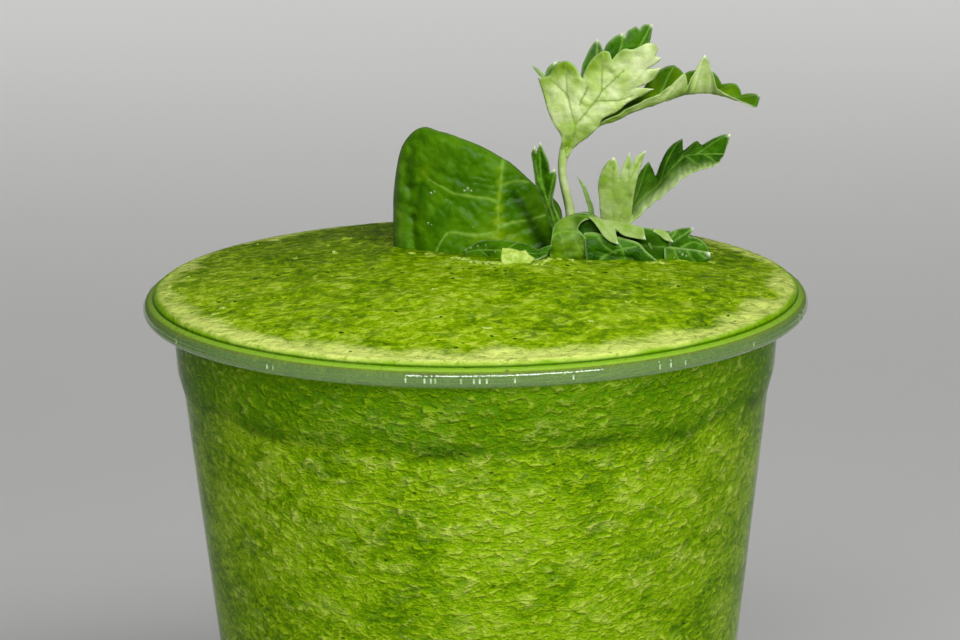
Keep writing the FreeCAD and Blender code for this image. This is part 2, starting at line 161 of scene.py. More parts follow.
def plus(tree, first, second):
    return mathNode(tree, "ADD", first, second)


def between(tree, value, low, high, toLow=0.0, toHigh=1.0):
    # soft step from low to high
    node = tree.nodes.new("ShaderNodeMapRange")
    node.interpolation_type = "SMOOTHSTEP"
    tree.links.new(value, node.inputs["Value"])
    for name, number in (("From Min", low), ("From Max", high), ("To Min", toLow), ("To Max", toHigh)):
        node.inputs[name].default_value = number
    return node.outputs["Result"]


def mixColour(tree, factor, first, second):
    node = tree.nodes.new("ShaderNodeMix")
    node.data_type = "RGBA"
    for index, value in ((0, factor), (6, first), (7, second)):
        feed(tree, node.inputs[index], value)
    return node.outputs[2]


def colourRamp(tree, value, stops):
    node = tree.nodes.new("ShaderNodeValToRGB")
    ramp = node.color_ramp
    while len(ramp.elements) < len(stops):
        ramp.elements.new(0.5)
    for element, (place, colour) in zip(ramp.elements, stops):
        element.position = place
        element.color = (*colour, 1.0)
    tree.links.new(value, node.inputs["Fac"])
    return node.outputs["Color"]


def noiseNode(tree, vector, scale, detail=4.0, roughness=0.55, distortion=0.0):
    node = tree.nodes.new("ShaderNodeTexNoise")
    for name, value in (("Vector", vector), ("Scale", scale), ("Detail", detail), ("Roughness", roughness),
                        ("Distortion", distortion)):
        feed(tree, node.inputs[name], value)
    return node.outputs["Fac"]


def vectorNode(tree, operation, first, second):
    node = tree.nodes.new("ShaderNodeVectorMath")
    node.operation = operation
    feed(tree, node.inputs[0], first)
    feed(tree, node.inputs["Scale"] if operation == "SCALE" else node.inputs[1], second)
    return node.outputs[0]


def inMillimetres(tree, vector):
    return vectorNode(tree, "SCALE", vector, 1000.0)


def redOf(tree, colour):
    node = tree.nodes.new("ShaderNodeSeparateColor")
    tree.links.new(colour, node.inputs["Color"])
    return node.outputs["Red"]


def newGroup(name, inputs, outputs):
    group = bpy.data.node_groups.new(name, "ShaderNodeTree")
    for title, kind, value in inputs:
        socket = group.interface.new_socket(name=title, in_out="INPUT", socket_type=kind)
        if value is not None:
            socket.default_value = value
    for title in outputs:
        group.interface.new_socket(name=title, in_out="OUTPUT", socket_type="NodeSocketFloat")
    return group, group.nodes.new("NodeGroupInput"), group.nodes.new("NodeGroupOutput")


def placeGroup(tree, group, vector, **values):
    node = tree.nodes.new("ShaderNodeGroup")
    node.node_tree = group
    tree.links.new(vector, node.inputs["Vector"])
    for title, value in values.items():
        node.inputs[title].default_value = value
    return node


def newMaterial(name, **settings):
    material = bpy.data.materials.new(name)
    material.use_nodes = True
    tree = material.node_tree
    shader = tree.nodes["Principled BSDF"]
    for title, value in settings.items():
        shader.inputs[title.replace("_", " ")].default_value = value
    return material, tree, shader


def objectVector(tree):
    return tree.nodes.new("ShaderNodeTexCoord").outputs["Object"]


def markValue(tree, name):
    node = tree.nodes.new("ShaderNodeAttribute")
    node.attribute_name = name
    return node.outputs["Fac"]


def bumpInto(tree, shader, height, strength, distance):
    node = tree.nodes.new("ShaderNodeBump")
    node.inputs["Strength"].default_value = strength
    node.inputs["Distance"].default_value = distance
    tree.links.new(height, node.inputs["Height"])
    tree.links.new(node.outputs["Normal"], shader.inputs["Normal"])


viewpoint = {"place": (0.64, -438.27, 220.67), "lookDown": 13.54, "tilt": -0.58, "lens": 113.85}


def setCamera():
    data = bpy.data.cameras.new("camera")
    data.lens = viewpoint["lens"]
    data.sensor_width = 36.0
    data.clip_start = 0.01
    data.clip_end = 50.0
    camera = bpy.data.objects.new("camera", data)
    scene.collection.objects.link(camera)
    turn = Matrix.Rotation(math.radians(90 - viewpoint["lookDown"]), 4, "X")
    roll = Matrix.Rotation(math.radians(viewpoint["tilt"]), 4, "Z")
    place = Matrix.Translation(Vector(viewpoint["place"]) * mm)
    camera.matrix_world = place @ turn @ roll
    scene.camera = camera


def mottleGroup():
    # patches, froth and crumbs of blended leaves; sizes are per millimetre
    group, given, result = newGroup(
        "mottle",
        [("Vector", "NodeSocketVector", None), ("Streak", "NodeSocketFloat", 1.8),
         ("Patch", "NodeSocketFloat", 0.09), ("Crumb", "NodeSocketFloat", 1.3)],
        ["Shade", "Froth", "Crumbs", "Specks", "Height"])
    axes = group.nodes.new("ShaderNodeCombineXYZ")
    for axis, value in (("X", 1.0), ("Y", 1.0), ("Z", given.outputs["Streak"])):
        feed(group, axes.inputs[axis], value)
    place = vectorNode(group, "MULTIPLY", inMillimetres(group, given.outputs["Vector"]), axes.outputs[0])
    patch, crumb = given.outputs["Patch"], given.outputs["Crumb"]
    shade = noiseNode(group, place, patch, 4.0, 0.6, 0.3)
    clusters = noiseNode(group, place, times(group, patch, 2.6), 4.0, 0.62, 0.4)
    lump = noiseNode(group, place, crumb, 2.5, 0.5, 0.5)
    grain = noiseNode(group, place, times(group, crumb, 3.6), 3.0, 0.62, 0.3)
    flake = plus(group, times(group, lump, 0.86), times(group, grain, 0.14))
    flake = between(group, flake, 0.46, 0.66)
    mixed = plus(group, times(group, lump, 0.62), times(group, grain, 0.38))
    froth = times(group, between(group, clusters, 0.52, 0.63), between(group, flake, 0.1, 0.9, 0.22, 1.0))
    dots = group.nodes.new("ShaderNodeTexVoronoi")
    group.links.new(place, dots.inputs["Vector"])
    group.links.new(times(group, crumb, 0.7), dots.inputs["Scale"])
    near = between(group, dots.outputs["Distance"], 0.1, 0.2, 1.0, 0.0)
    chosen = mathNode(group, "GREATER_THAN", redOf(group, dots.outputs["Color"]), 0.93)
    fine = plus(group, times(group, lump, 0.7), times(group, grain, 0.26))
    relief = plus(group, times(group, flake, 0.3), fine)
    height = plus(group, relief, times(group, clusters, 1.1))
    for title, value in (("Shade", between(group, shade, 0.36, 0.64)), ("Froth", froth), ("Crumbs", mixed),
                         ("Specks", times(group, near, chosen)), ("Height", height)):
        group.links.new(value, result.inputs[title])
    return group


def leafSkinGroup():
    # fine net of veinlets, with slow changes of tone
    group, given, result = newGroup(
        "leafSkin", [("Vector", "NodeSocketVector", None), ("Net Size", "NodeSocketFloat", 1.0)],
        ["Net", "Tone", "Height"])
    place = inMillimetres(group, given.outputs["Vector"])
    warp = group.nodes.new("ShaderNodeTexNoise")
    group.links.new(place, warp.inputs["Vector"])
    warp.inputs["Scale"].default_value = 0.6
    moved = vectorNode(group, "ADD", place, warp.outputs["Color"])
    cells = group.nodes.new("ShaderNodeTexVoronoi")
    cells.feature = "DISTANCE_TO_EDGE"
    group.links.new(moved, cells.inputs["Vector"])
    group.links.new(given.outputs["Net Size"], cells.inputs["Scale"])
    lines = between(group, cells.outputs["Distance"], 0.0, 0.11, 1.0, 0.0)
    tone = noiseNode(group, place, 0.28, 4.0, 0.6, 0.4)
    fine = noiseNode(group, place, 2.6, 3.0)
    height = plus(group, times(group, lines, -0.5), fine)
    for title, value in (("Net", lines), ("Tone", between(group, tone, 0.32, 0.68)), ("Height", height)):
        group.links.new(value, result.inputs[title])
    return group


drink = {
    "stops": [(0.10, (0.055, 0.135, 0.0)), (0.40, (0.175, 0.32, 0.0)), (0.64, (0.30, 0.475, 0.002)),
              (0.92, (0.47, 0.63, 0.055))],
    "froth": (0.50, 0.60, 0.10), "creamAndLight": (0.60, 0.70, 0.16), "edge": (0.16, 0.33, 0.0),
    # the contact, step, wall and far colours on the next line are painted shade
    "contactShadow": (0.02, 0.08, 0.0), "band": (0.03, 0.095, 0.0), "wallShade": (0.06, 0.165, 0.0), "far": (0.04, 0.09, 0.0),
    "speck": (0.008, 0.03, 0.0), "speckShow": 0.8, "gloss": 0.06, "smoothTop": 0.24, "bumpDepth": 0.001,
    "mottle": {"Streak": 1.7, "Patch": 0.085, "Crumb": 0.68}, "segments": 512, "domeRings": 108,
    "wallStep": 4.0, "fineBand": (101.0, 113.0), "fineStep": 0.45, "intoWall": 0.14,
    "brimRadius": 47.62, "brimRound": 1.15, "brimSink": 0.22, "ball": 313.0, "settle": 6.0,
    "lumps": ((12.0, 0.34), (4.2, 0.22), (2.1, 0.17), (1.15, 0.08)), "lumpsEnd": 46.9, "lumpsFade": 1.5,
    "creamFrom": 47.1, "edgeFrom": 46.95, "contactShadowFrom": 47.42, "lipInside": 45, "rimShadeFrom": 106.4, "shadeFrom": 90,
}


def smoothieMaterial(mottle):
    material, tree, shader = newMaterial("smoothie", IOR=1.3, Specular_IOR_Level=drink["gloss"])
    look = placeGroup(tree, mottle, objectVector(tree), **drink["mottle"])
    shade, froth, crumbs, specks = (look.outputs[name] for name in ("Shade", "Froth", "Crumbs", "Specks"))
    value = plus(tree, times(tree, shade, 0.3), between(tree, crumbs, 0.34, 0.66, 0.06, 0.64))
    colour = colourRamp(tree, value, drink["stops"])
    wall = markValue(tree, "wall")
    colour = mixColour(tree, times(tree, froth, between(tree, wall, 0.0, 1.0, 0.5, 0.9)), colour, drink["froth"])
    # painted shade: the drink darker under the lip, over the wall and towards the back of the top
    paintedShade = times(tree, markValue(tree, "paintedShade"), between(tree, crumbs, 0.4, 0.6, 0.85, 0.55))
    colour = mixColour(tree, paintedShade, colour, mixColour(tree, wall, drink["far"], drink["wallShade"]))
    # painted shadow in patches along the step in the cup wall
    band = times(tree, markValue(tree, "band"), between(tree, crumbs, 0.35, 0.65, 1.0, 0.7))
    colour = mixColour(tree, band, colour, drink["band"])
    # cream froth, wider and paler at the front: partly painted light where the lamp falls
    creamAndLight = times(tree, markValue(tree, "creamAndLight"), between(tree, crumbs, 0.36, 0.52, 0.4, 1.0))
    colour = mixColour(tree, creamAndLight, colour, drink["creamAndLight"])
    colour = mixColour(tree, markValue(tree, "edge"), colour, drink["edge"])
    # painted contact shadow: a dark line where the drink meets the lip
    colour = mixColour(tree, markValue(tree, "contactShadow"), colour, drink["contactShadow"])
    colour = mixColour(tree, times(tree, specks, drink["speckShow"]), colour, drink["speck"])
    tree.links.new(colour, shader.inputs["Base Color"])
    tree.links.new(between(tree, froth, 0.0, 1.0, 0.34, 0.5), shader.inputs["Roughness"])
    # the free top is smoother than what is pressed to the wall
    rough = between(tree, wall, 0.0, 1.0, drink["smoothTop"], 1.0)
    bumpInto(tree, shader, times(tree, look.outputs["Height"], rough), 1.0, drink["bumpDepth"])
    return material


def drinkProfile():
    # half section (radius, height): up the wall, over the lip, then the dome
    into = drink["intoWall"]
    wall = [(r + (into if r > 30 else 0.0), z - (into if z < 4 else 0.0)) for r, z in insideLine + [(44.35, 118.7)]]
    low, high = drink["fineBand"]
    wall = splitLine(wall, drink["wallStep"])
    step = splitLine([p for p in wall if low <= p[1] <= high], drink["fineStep"])
    wall = [p for p in wall if p[1] < low] + step + [p for p in wall if p[1] > high]
    lip = [(44.9, 119.5), (45.65, 119.86), (47.8, 119.86), (48.3, 119.66), (48.25, 119.5), (47.7, 119.74)]
    edge, bulge = drink["brimRadius"], drink["brimRound"]
    brim = [(edge - 0.1, 119.9)] + arcPoints((edge - bulge, lipTop - drink["brimSink"]), bulge, 10, 78, 10)
    start, low = brim[-1]
    gap = low - (crownTop - start * start / (2 * drink["ball"]))
    settle = drink["settle"]
    dome = []
    for i in range(1, drink["domeRings"]):
        r = start * (1 - i / drink["domeRings"])
        dome.append((r, crownTop - r * r / (2 * drink["ball"]) + gap * max(0.0, (r - start + settle) / settle) ** 2))
    return wall, lip + brim, dome


def within(value):
    return min(1.0, max(0.0, value))


def lumpHeight(x, y):
    share = within((drink["lumpsEnd"] - math.hypot(x, y)) / drink["lumpsFade"])
    return share * sum(depth * noise.noise(Vector((x / size, y / size, number * 7.3)))
                       for number, (size, depth) in enumerate(drink["lumps"]))


def drinkMarks(radius, height, angle, x, y):
    # how creamy, green at the edge or darkened the drink is at a place: cream is froth, partly painted light at the
    # front; the darkening is a painted contact shadow at the lip, painted shade under the lip, over the wall and
    # towards the back of the top, and a painted shadow along the step
    uneven = noise.noise(Vector((x / 7, y / 7, 3.1))) + 0.5 * noise.noise(Vector((x / 2.2, y / 2.2, 8.1)))
    front = 0.5 - 0.5 * math.sin(angle)
    creamAndLight = edge = contactShadow = paintedShade = band = wall = 0.0
    if height > lipTop + 0.02:
        # painted shade, darker towards the back of the top
        paintedShade = 0.2 + 0.8 * within((y + 25) / 65) ** 1.3
        # cream froth, wider and stronger towards the front: partly painted light
        width = 2.2 + 3.2 * front + 2.4 * uneven
        creamAndLight = within((radius - drink["creamFrom"] + width) / (1.0 + 2.0 * front))
        creamAndLight *= 0.5 + 0.5 * front + 0.2 * uneven
        edge = within((radius - drink["edgeFrom"] - 0.35 * uneven + 0.9 * (1 - front)) / 0.7)
        # painted contact shadow along the outer rim of the top
        contactShadow = within((radius - drink["contactShadowFrom"]) / 0.14) * (0.75 + 0.25 * front)
    elif radius > drink["lipInside"]:
        edge = 1.0
    elif height > drink["shadeFrom"]:
        wall = 1.0
        # painted shade: strong between the step and the lip, lighter below
        lowEdge = drink["rimShadeFrom"] + 1.6 * noise.noise(Vector((x / 11, y / 11, 9.0)))
        paintedShade = 0.3 + 0.7 * within((height - lowEdge) / 1.2)
        # patches of painted shadow along the step
        patchy = 0.5 + 2.0 * noise.noise(Vector((x / 10, y / 10, 21.0)))
        band = patchy * math.exp(-(((height - lowEdge - 0.7) / 1.0) ** 2))
    else:
        paintedShade, wall = 0.3, 1.0
    return [within(value) for value in (creamAndLight, edge, contactShadow, paintedShade, band, wall)]


def buildDrink(material):
    wall, brim, dome = drinkProfile()
    profile = wall[1:] + brim + dome
    section = np.array(profile)
    tangent = np.gradient(section, axis=0)
    tangent /= np.linalg.norm(tangent, axis=1, keepdims=True)
    count = drink["segments"]
    names = ("creamAndLight", "edge", "contactShadow", "paintedShade", "band", "wall")
    points, marks = [(0.0, 0.0, wall[0][1])], [[0.0] * len(names)]
    for (radius, height), (along, up) in zip(profile, tangent):
        for i in range(count):
            angle = 2 * math.pi * i / count
            x, y = radius * math.cos(angle), radius * math.sin(angle)
            push = lumpHeight(x, y) if height > lipTop + 0.1 else 0.0
            points.append((x + up * push * math.cos(angle), y + up * push * math.sin(angle), height - along * push))
            marks.append(drinkMarks(radius, height, angle, x, y))
    points.append((0.0, 0.0, crownTop))
    marks.append([0.0] * len(names))
    faces = latheFaces(len(profile), count)
    piece = makePiece("smoothieFill", points, faces, dict(zip(names, np.array(marks).T)))
    return finishPiece(piece, material, ["smoothie"])


cup = {"segments": 384, "lipWidth": 4.2, "bead": 1.4, "turn": 1.3, "wall": 0.45, "lipFrom": 116.7,
       "wallPlastic": {"low": (0.95, 0.99, 0.93), "high": (0.95, 0.99, 0.93), "refraction": 1.06, "clearness": 1.0,
                       "roughness": 0.015},
       # the lip's green colours are a painted reflection of the drink
       "lipPlastic": {"low": (0.60, 0.92, 0.32), "high": (0.72, 0.92, 0.15), "refraction": 1.46, "clearness": 0.85,
                      "roughness": 0.06},
       "tintChange": (0.75, 0.35), "shade": (0.97, 0.99, 0.96, 1.0), "ripple": 0.05, "rippleScale": 60.0,
       "nibs": (-59, -35.3, -34.1, -11, -8, -7, -6.3, -2.3, -0.3, 0.6, 1.7, 6.1, 15.4, 30.5, 32.6, 35.5,
                52, 71, 74, 96, 118, 121, 149, 171, 176, 199, 217, 222, 243, 265),
       "nibWidth": 0.12, "nibHeight": 0.08, "nibStart": 48.2, "nibFull": 0.8, "nibFaces": (48.5, 118.15, 118.9),
       "groove": 0.1, "longest": 6.0,
       "nibGlint": (0.50, 0.64, 0.42), "nibGreen": (0.26, 0.40, 0.18)}


def clearPlasticMaterial(name, low, high, refraction, clearness, roughness):
    # the plastic is painted with the green of the drink seen through and in it, a painted reflection, more so on top
    # of the lip
    material, tree, shader = newMaterial(name, Roughness=roughness, IOR=refraction, Specular_IOR_Level=0.5)
    split = tree.nodes.new("ShaderNodeSeparateXYZ")
    tree.links.new(inMillimetres(tree, objectVector(tree)), split.inputs[0])
    raised = between(tree, split.outputs["Z"], *(lipTop - below for below in cup["tintChange"]))
    tree.links.new(mixColour(tree, raised, low, high), shader.inputs["Base Color"])
    shader.inputs["Transmission Weight"].default_value = clearness
    bumpInto(tree, shader, noiseNode(tree, objectVector(tree), cup["rippleScale"], 2.0), cup["ripple"], 0.0004)
    # lamps and bounced light reach the drink straight through the wall
    clear = tree.nodes.new("ShaderNodeBsdfTransparent")
    clear.inputs["Color"].default_value = cup["shade"]
    path = tree.nodes.new("ShaderNodeLightPath")
    mix = tree.nodes.new("ShaderNodeMixShader")
    through = mathNode(tree, "MAXIMUM", path.outputs["Is Shadow Ray"], path.outputs["Is Diffuse Ray"])
    tree.links.new(through, mix.inputs[0])
    tree.links.new(shader.outputs[0], mix.inputs[1])
    tree.links.new(clear.outputs[0], mix.inputs[2])
    tree.links.new(mix.outputs[0], tree.nodes["Material Output"].inputs["Surface"])
    return material


def nibMaterial():
    # small marks that the mould leaves on the lip, painted pale: a painted highlight for the glints they catch
    material, tree, shader = newMaterial("mouldNibs", Roughness=0.25, IOR=1.5, Specular_IOR_Level=0.6)
    tone = between(tree, noiseNode(tree, objectVector(tree), 900.0, 2.0), 0.35, 0.65)
    tree.links.new(mixColour(tree, tone, cup["nibGreen"], cup["nibGlint"]), shader.inputs["Base Color"])
    return material


def cupProfile():
    # half section: the outside from the middle up, round the lip, then down the inside
    bead, turn, wall = cup["bead"], cup["turn"], cup["wall"]
    wallTop, middle, level = rimRadius - cup["lipWidth"], rimRadius - bead, lipTop - bead
    outer = [(0.0, 2.5), (26.3, 2.5), (27.8, 0.0), (30.8, 0.0)]
    outer += arcPoints((30.8, 1.5), 1.5, -80, 0, 8)
    outer += [(43.4, 105.9), (44.3, 109.4), (44.72, 116.6)]
    outer += arcPoints((45.35, 116.6), 0.6, 180, 90, 5)[1:]
    outer += arcPoints((middle, level), bead, -90, -9, 13)
    outer += arcPoints((middle, level), bead - cup["groove"], -5, 1, 3)
    outer += arcPoints((middle, level), bead, 5, 90, 14)
    start = wallTop - wall + turn
    inner = arcPoints((start, lipTop - turn), turn, 90, 180, 9)
    return splitLine(outer + inner + insideLine[::-1], cup["longest"])


def buildCup(materials):
    profile = cupProfile()
    width = cup["nibWidth"] / rimRadius
    nibs = [math.radians(degrees - 90) % (2 * math.pi) for degrees in cup["nibs"]]
    angles = [2 * math.pi * i / cup["segments"] for i in range(cup["segments"])]
    angles = [a for a in angles if all(abs(a - nib) > 2 * width for nib in nibs)]
    angles = sorted(angles + [nib + k * width for nib in nibs for k in (-1.5, -1.0, -0.4, 0.4, 1.0, 1.5)])
    raised = [max(0.0, 1 - min(abs(a - nib) for nib in nibs) / (1.2 * width)) for a in angles]
    points = [(0.0, 0.0, profile[0][1])]
    for radius, height in profile[1:-1]:
        lift = cup["nibHeight"] * max(0.0, (radius - cup["nibStart"]) / cup["nibFull"])
        for angle, share in zip(angles, raised):
            out = min(radius + lift * min(1.0, 2 * share), rimRadius)
            points.append((out * math.cos(angle), out * math.sin(angle), height))
    points.append((0.0, 0.0, profile[-1][1]))
    piece = makePiece("clearCup", points, latheFaces(len(profile) - 2, len(angles)))
    for material in materials:
        piece.data.materials.append(material)
    least, low, high = cup["nibFaces"]
    for face in piece.data.polygons:
        height, radius = face.center.z / mm, math.hypot(face.center.x, face.center.y) / mm
        angle = math.atan2(face.center.y, face.center.x) % (2 * math.pi)
        face.material_index = 1 if height > cup["lipFrom"] else 0
        if radius > least and low < height < high and min(abs(angle - nib) for nib in nibs) < width:
            face.material_index = 2
    return finishPiece(piece, None, ["cup"])


def toPlace(x, y, up):
    return (x, y, crownTop + up)


def surfaceBelow(x, y):
    return crownTop - (x * x + y * y) / (2 * drink["ball"])


leafDefaults = {"front": 0.0, "back": 1.0, "thickness": 0.26, "seed": 0, "tipSize": 0.4,
                "tint": (), "bruiseAndShade": (), "turned": (), "tips": ()}
sheetDefaults = {**leafDefaults, "step": 0.3, "veinWidth": 0.3, "veinTaper": 0.75, "edgeWidth": 0.3, "puff": 0.25,
                 "puffWidth": 1.3, "inland": 1.2, "ripple": 0.2, "curl": 0.0, "creases": ()}
foldDefaults = {**leafDefaults, "perSpan": 9, "across": 26, "sideScale": 3.0, "veinWidth": 0.25, "veinTaper": 0.7,
                "edgeWidth": 0.28, "puff": 0.18, "puffWidth": 1.0, "inland": 1.0, "ripple": 0.18, "belly": 0.1,
                "onDrink": False}
stalkShape = {"sides": 14, "perSpan": 5, "under": 0.8, "ribs": 5, "ribDepth": 0.07}
sharpTurn = 62


def isSharp(a, b, c):
    first, second = b - a, c - b
    if first.length < 1e-6 or second.length < 1e-6:
        return False
    return math.degrees(first.angle(second)) > sharpTurn


def smoothOutline(points, step):
    # closed outline: rounded between its points, with tips and notches kept sharp
    loop = [Vector(p) for p in points]
    count = len(loop)
    sharp = [isSharp(loop[i - 1], loop[i], loop[(i + 1) % count]) for i in range(count)]
    out = []
    for i in range(count):
        b, c = loop[i], loop[(i + 1) % count]
        a = b - (c - b) * 0.3 if sharp[i] else loop[i - 1]
        d = c + (c - b) * 0.3 if sharp[(i + 1) % count] else loop[(i + 2) % count]
        steps = max(1, round((c - b).length / step))
        out += [tuple(curveThrough([a, b, c, d], 1 + k / steps)) for k in range(steps)]
    return np.array(out)


def lineDistance(points, lines):
    # distance from each point to the nearest of the lines, and how far along it
    best = np.full(len(points), 1e9)
    along = np.zeros(len(points))
    for line in lines:
        line = np.asarray(line, float)
        total = len(line) - 1
        for i in range(total):
            a, b = line[i], line[i + 1]
            d = b - a
            t = np.clip(((points - a) @ d) / max(d @ d, 1e-9), 0, 1)
            gap = np.linalg.norm(points - (a + t[:, None] * d), axis=1)
            nearer = gap < best
            best = np.where(nearer, gap, best)
            along = np.where(nearer, (i + t) / total, along)
    return best, along


def bendDepth(x, z, bend):
    # where a straight look from the front meets the near side of a round shell
    radius, middle, way = bend
    way = np.array(way, float)
    way /= np.linalg.norm(way)
    ahead = np.array([0.0, 1.0, 0.0])
    ahead = ahead - (ahead @ way) * way
    start = np.stack([x - middle[0], np.full_like(x, -middle[1]), z - middle[2]], 1)
    start = start - (start @ way)[:, None] * way
    a, b = ahead @ ahead, 2 * (start @ ahead)
    c = (start * start).sum(1) - radius**2
    return (-b - np.sqrt(np.maximum(b * b - 4 * a * c, 0))) / (2 * a)


def closedSheet(points, faces, shape, marks, turned):
    # gives a sheet its two faces and its rim; front and back say how much of the pale underside each shows
    normals = vertexNormals(points, faces)
    half = (shape["thickness"] * (0.5 - 0.3 * marks["edge"]))[:, None]
    both = np.concatenate([points + normals * half, points - normals * half])
    count = len(points)
    used = {}
    for face in faces:
        for way in ((face[0], face[1]), (face[1], face[2]), (face[2], face[0])):
            used.setdefault(tuple(sorted(way)), []).append(way)
    allFaces = [tuple(f) for f in faces] + [(f[0] + count, f[2] + count, f[1] + count) for f in faces]
    for ways in used.values():
        if len(ways) == 1:
            a, b = ways[0]
            allFaces += [(b, a, a + count), (b, a + count, b + count)]
    out = {name: np.concatenate([values, values]) for name, values in marks.items()}
    front = shape["front"] + (1 - shape["front"]) * turned
    out["under"] = np.concatenate([front, np.full(count, shape["back"])])
    return both, allFaces, out


def veinPoints(line, step):
    # close enough together that a vein stays one unbroken line
    length = sum(math.dist(a, b) for a, b in zip(line, line[1:]))
    count = max(12, math.ceil(length / (0.5 * step)))
    line = [Vector(p) for p in line]
    return np.array([tuple(curveThrough(line, k * (len(line) - 1) / count)) for k in range(count + 1)])


def insideOutline(points, border):
    inside = np.zeros(len(points), bool)
    ax, ay = border[:, 0], border[:, 1]
    bx, by = np.roll(ax, -1), np.roll(ay, -1)
    for i in range(len(border)):
        crosses = (ay[i] > points[:, 1]) != (by[i] > points[:, 1])
        where = ax[i] + (points[:, 1] - ay[i]) * (bx[i] - ax[i]) / ((by[i] - ay[i]) or 1e-12)
        inside ^= crosses & (points[:, 0] < where)
    return inside


def spotMark(plane, spots):
    total = np.zeros(len(plane))
    for x, up, radius, strength in spots:
        gap = np.hypot(plane[:, 0] - x, plane[:, 1] - up)
        total = np.maximum(total, strength * np.exp(-(gap / radius) ** 2))
    return total


def fillOutline(border, veins, step):
    # flat triangles between the outline and the veins, with rows of points in the open parts
    rim = [np.vstack([border, border[:1]])]
    low, high = border.min(0), border.max(0)
    grid = []
    row = 0
    height = low[1]
    while height < high[1]:
        across = low[0] + (step / 2 if row % 2 else 0)
        while across < high[0]:
            grid.append((across, height))
            across += step
        height += step * 0.87
        row += 1
    grid, onVeins = np.array(grid), np.vstack(veins)
    grid, onVeins = (points[insideOutline(points, border)] for points in (grid, onVeins))
    grid, onVeins = (points[lineDistance(points, rim)[0] > step * 0.5] for points in (grid, onVeins))
    grid = grid[lineDistance(grid, veins)[0] > step * 0.45]
    flat = [Vector(p) for p in np.vstack([border, grid, onVeins])]
    edges = [(i, (i + 1) % len(border)) for i in range(len(border))]
    verts, _, faces, _, _, _ = delaunay_2d_cdt(flat, edges, [], 1, 1e-4)
    plane = np.array([tuple(v) for v in verts])
    return plane, [tuple(f) for f in faces if len(f) == 3], lineDistance(plane, rim)[0]


def leafMarks(shape, plane, toVein, along, toEdge):
    width = shape["veinWidth"] * (1.15 - shape["veinTaper"] * along)
    marks = {"vein": np.exp(-(toVein / np.maximum(width, 0.1)) ** 2),
             "edge": np.exp(-(toEdge / shape["edgeWidth"]) ** 2)}
    for name in ("tint", "bruiseAndShade"):
        marks[name] = spotMark(plane, shape[name])
    inland = np.minimum(1.0, toEdge / shape["inland"])
    puff = shape["puff"] * (1 - np.exp(-toVein / shape["puffWidth"])) * inland
    return marks, puff, inland


def tipMark(shape, plane):
    # white points of the teeth
    return spotMark(plane, [(x, up, shape["tipSize"], 1.0) for x, up in shape["tips"]])


def sheetLeaf(shape):
    # a blade seen from the front: outline and veins are (to the right, above the crown)
    shape = {**sheetDefaults, **shape}
    veins = [veinPoints(line, shape["step"]) for line in shape["veins"]]
    plane, faces, toEdge = fillOutline(smoothOutline(shape["outline"], shape["step"]), veins, shape["step"])
    x, z = plane[:, 0], plane[:, 1]
    toVein, along = lineDistance(plane, veins)
    marks, puff, inland = leafMarks(shape, plane, toVein, along, toEdge)
    marks["tip"] = tipMark(shape, plane)
    ripple = np.array([wave((a, b, 0), 3.2, shape["seed"]) for a, b in plane]) * shape["ripple"]
    y = bendDepth(x, z, shape["bend"]) - puff + ripple + shape["curl"] * (1 - inland) ** 2
    for line, depth, creaseWidth in shape["creases"]:
        y = y + depth * np.exp(-(lineDistance(plane, [line])[0] / creaseWidth) ** 2)
    points = np.stack([x, y, crownTop + z], 1)
    if vertexNormals(points, faces)[:, 1].sum() > 0:  # faces look to the front
        faces = [(f[0], f[2], f[1]) for f in faces]
    return closedSheet(points, faces, shape, marks, spotMark(plane, shape["turned"]))


def toothedLine(line, rib, shape):
    # straight from point to point, with each run swelling a little away from the rib
    run = []
    spans = len(line) - 1
    for k in range(spans * shape["perSpan"] + 1):
        place = k / shape["perSpan"]
        i = min(int(place), spans - 1)
        t = place - i
        at = line[i].lerp(line[i + 1], t)
        away = line[i].lerp(line[i + 1], 0.5) - rib[i].lerp(rib[i + 1], 0.5)
        if away.length > 1e-6:
            swell = math.sin(math.pi * t) * shape["belly"] * (line[i + 1] - line[i]).length
            at = at + away.normalized() * swell
        run.append(at)
    return run


def foldLeaf(shape):
    # a leaf folded or rolled along its length, from lines that run from end to end; the middle one is its rib
    shape = {**foldDefaults, **shape}
    lines = [[Vector(toPlace(*p)) for p in line] for line in shape["lines"]]
    if shape["onDrink"]:
        lines = [[Vector((p.x, p.y, p.z - crownTop + surfaceBelow(p.x, p.y))) for p in line] for line in lines]
    rib = lines[len(lines) // 2]
    spans, across = len(rib) - 1, shape["across"]
    columns = spans * shape["perSpan"] + 1
    rail = [toothedLine(line, rib, shape) for line in lines]
    points, flat = [], []
    for j in range(across + 1):
        v = j / across * (len(lines) - 1)
        for k in range(columns):
            points.append(tuple(curveThrough([run[k] for run in rail], v)))
            flat.append((k / shape["perSpan"], v))
    points, flat = np.array(points), np.array(flat)
    faces = []
    for j in range(across):
        for k in range(columns - 1):
            a = j * columns + k
            b = a + columns
            faces += [(a, a + 1, b + 1), (a, b + 1, b)]
    # distances in millimetres, from the rib and the edges
    scale = (sum((rib[i + 1] - rib[i]).length for i in range(spans)) / spans, shape["sideScale"])
    toVein, along = lineDistance(flat * scale, [np.array(line) * scale for line in shape["veins"]])
    grid = points.reshape(across + 1, columns, 3)
    toEdge = np.minimum(*(np.linalg.norm(grid - side, axis=2).ravel() for side in (grid[:1], grid[-1:])))
    marks, puff, _ = leafMarks(shape, flat, toVein, along, toEdge)
    ripple = np.array([wave(p, 2.6, shape["seed"]) for p in points]) * shape["ripple"]
    points = points + vertexNormals(points, faces) * (puff + ripple)[:, None]
    marks["tip"] = tipMark(shape, points[:, [0, 2]] - (0, crownTop))
    return closedSheet(points, faces, shape, marks, spotMark(flat, shape["turned"]))


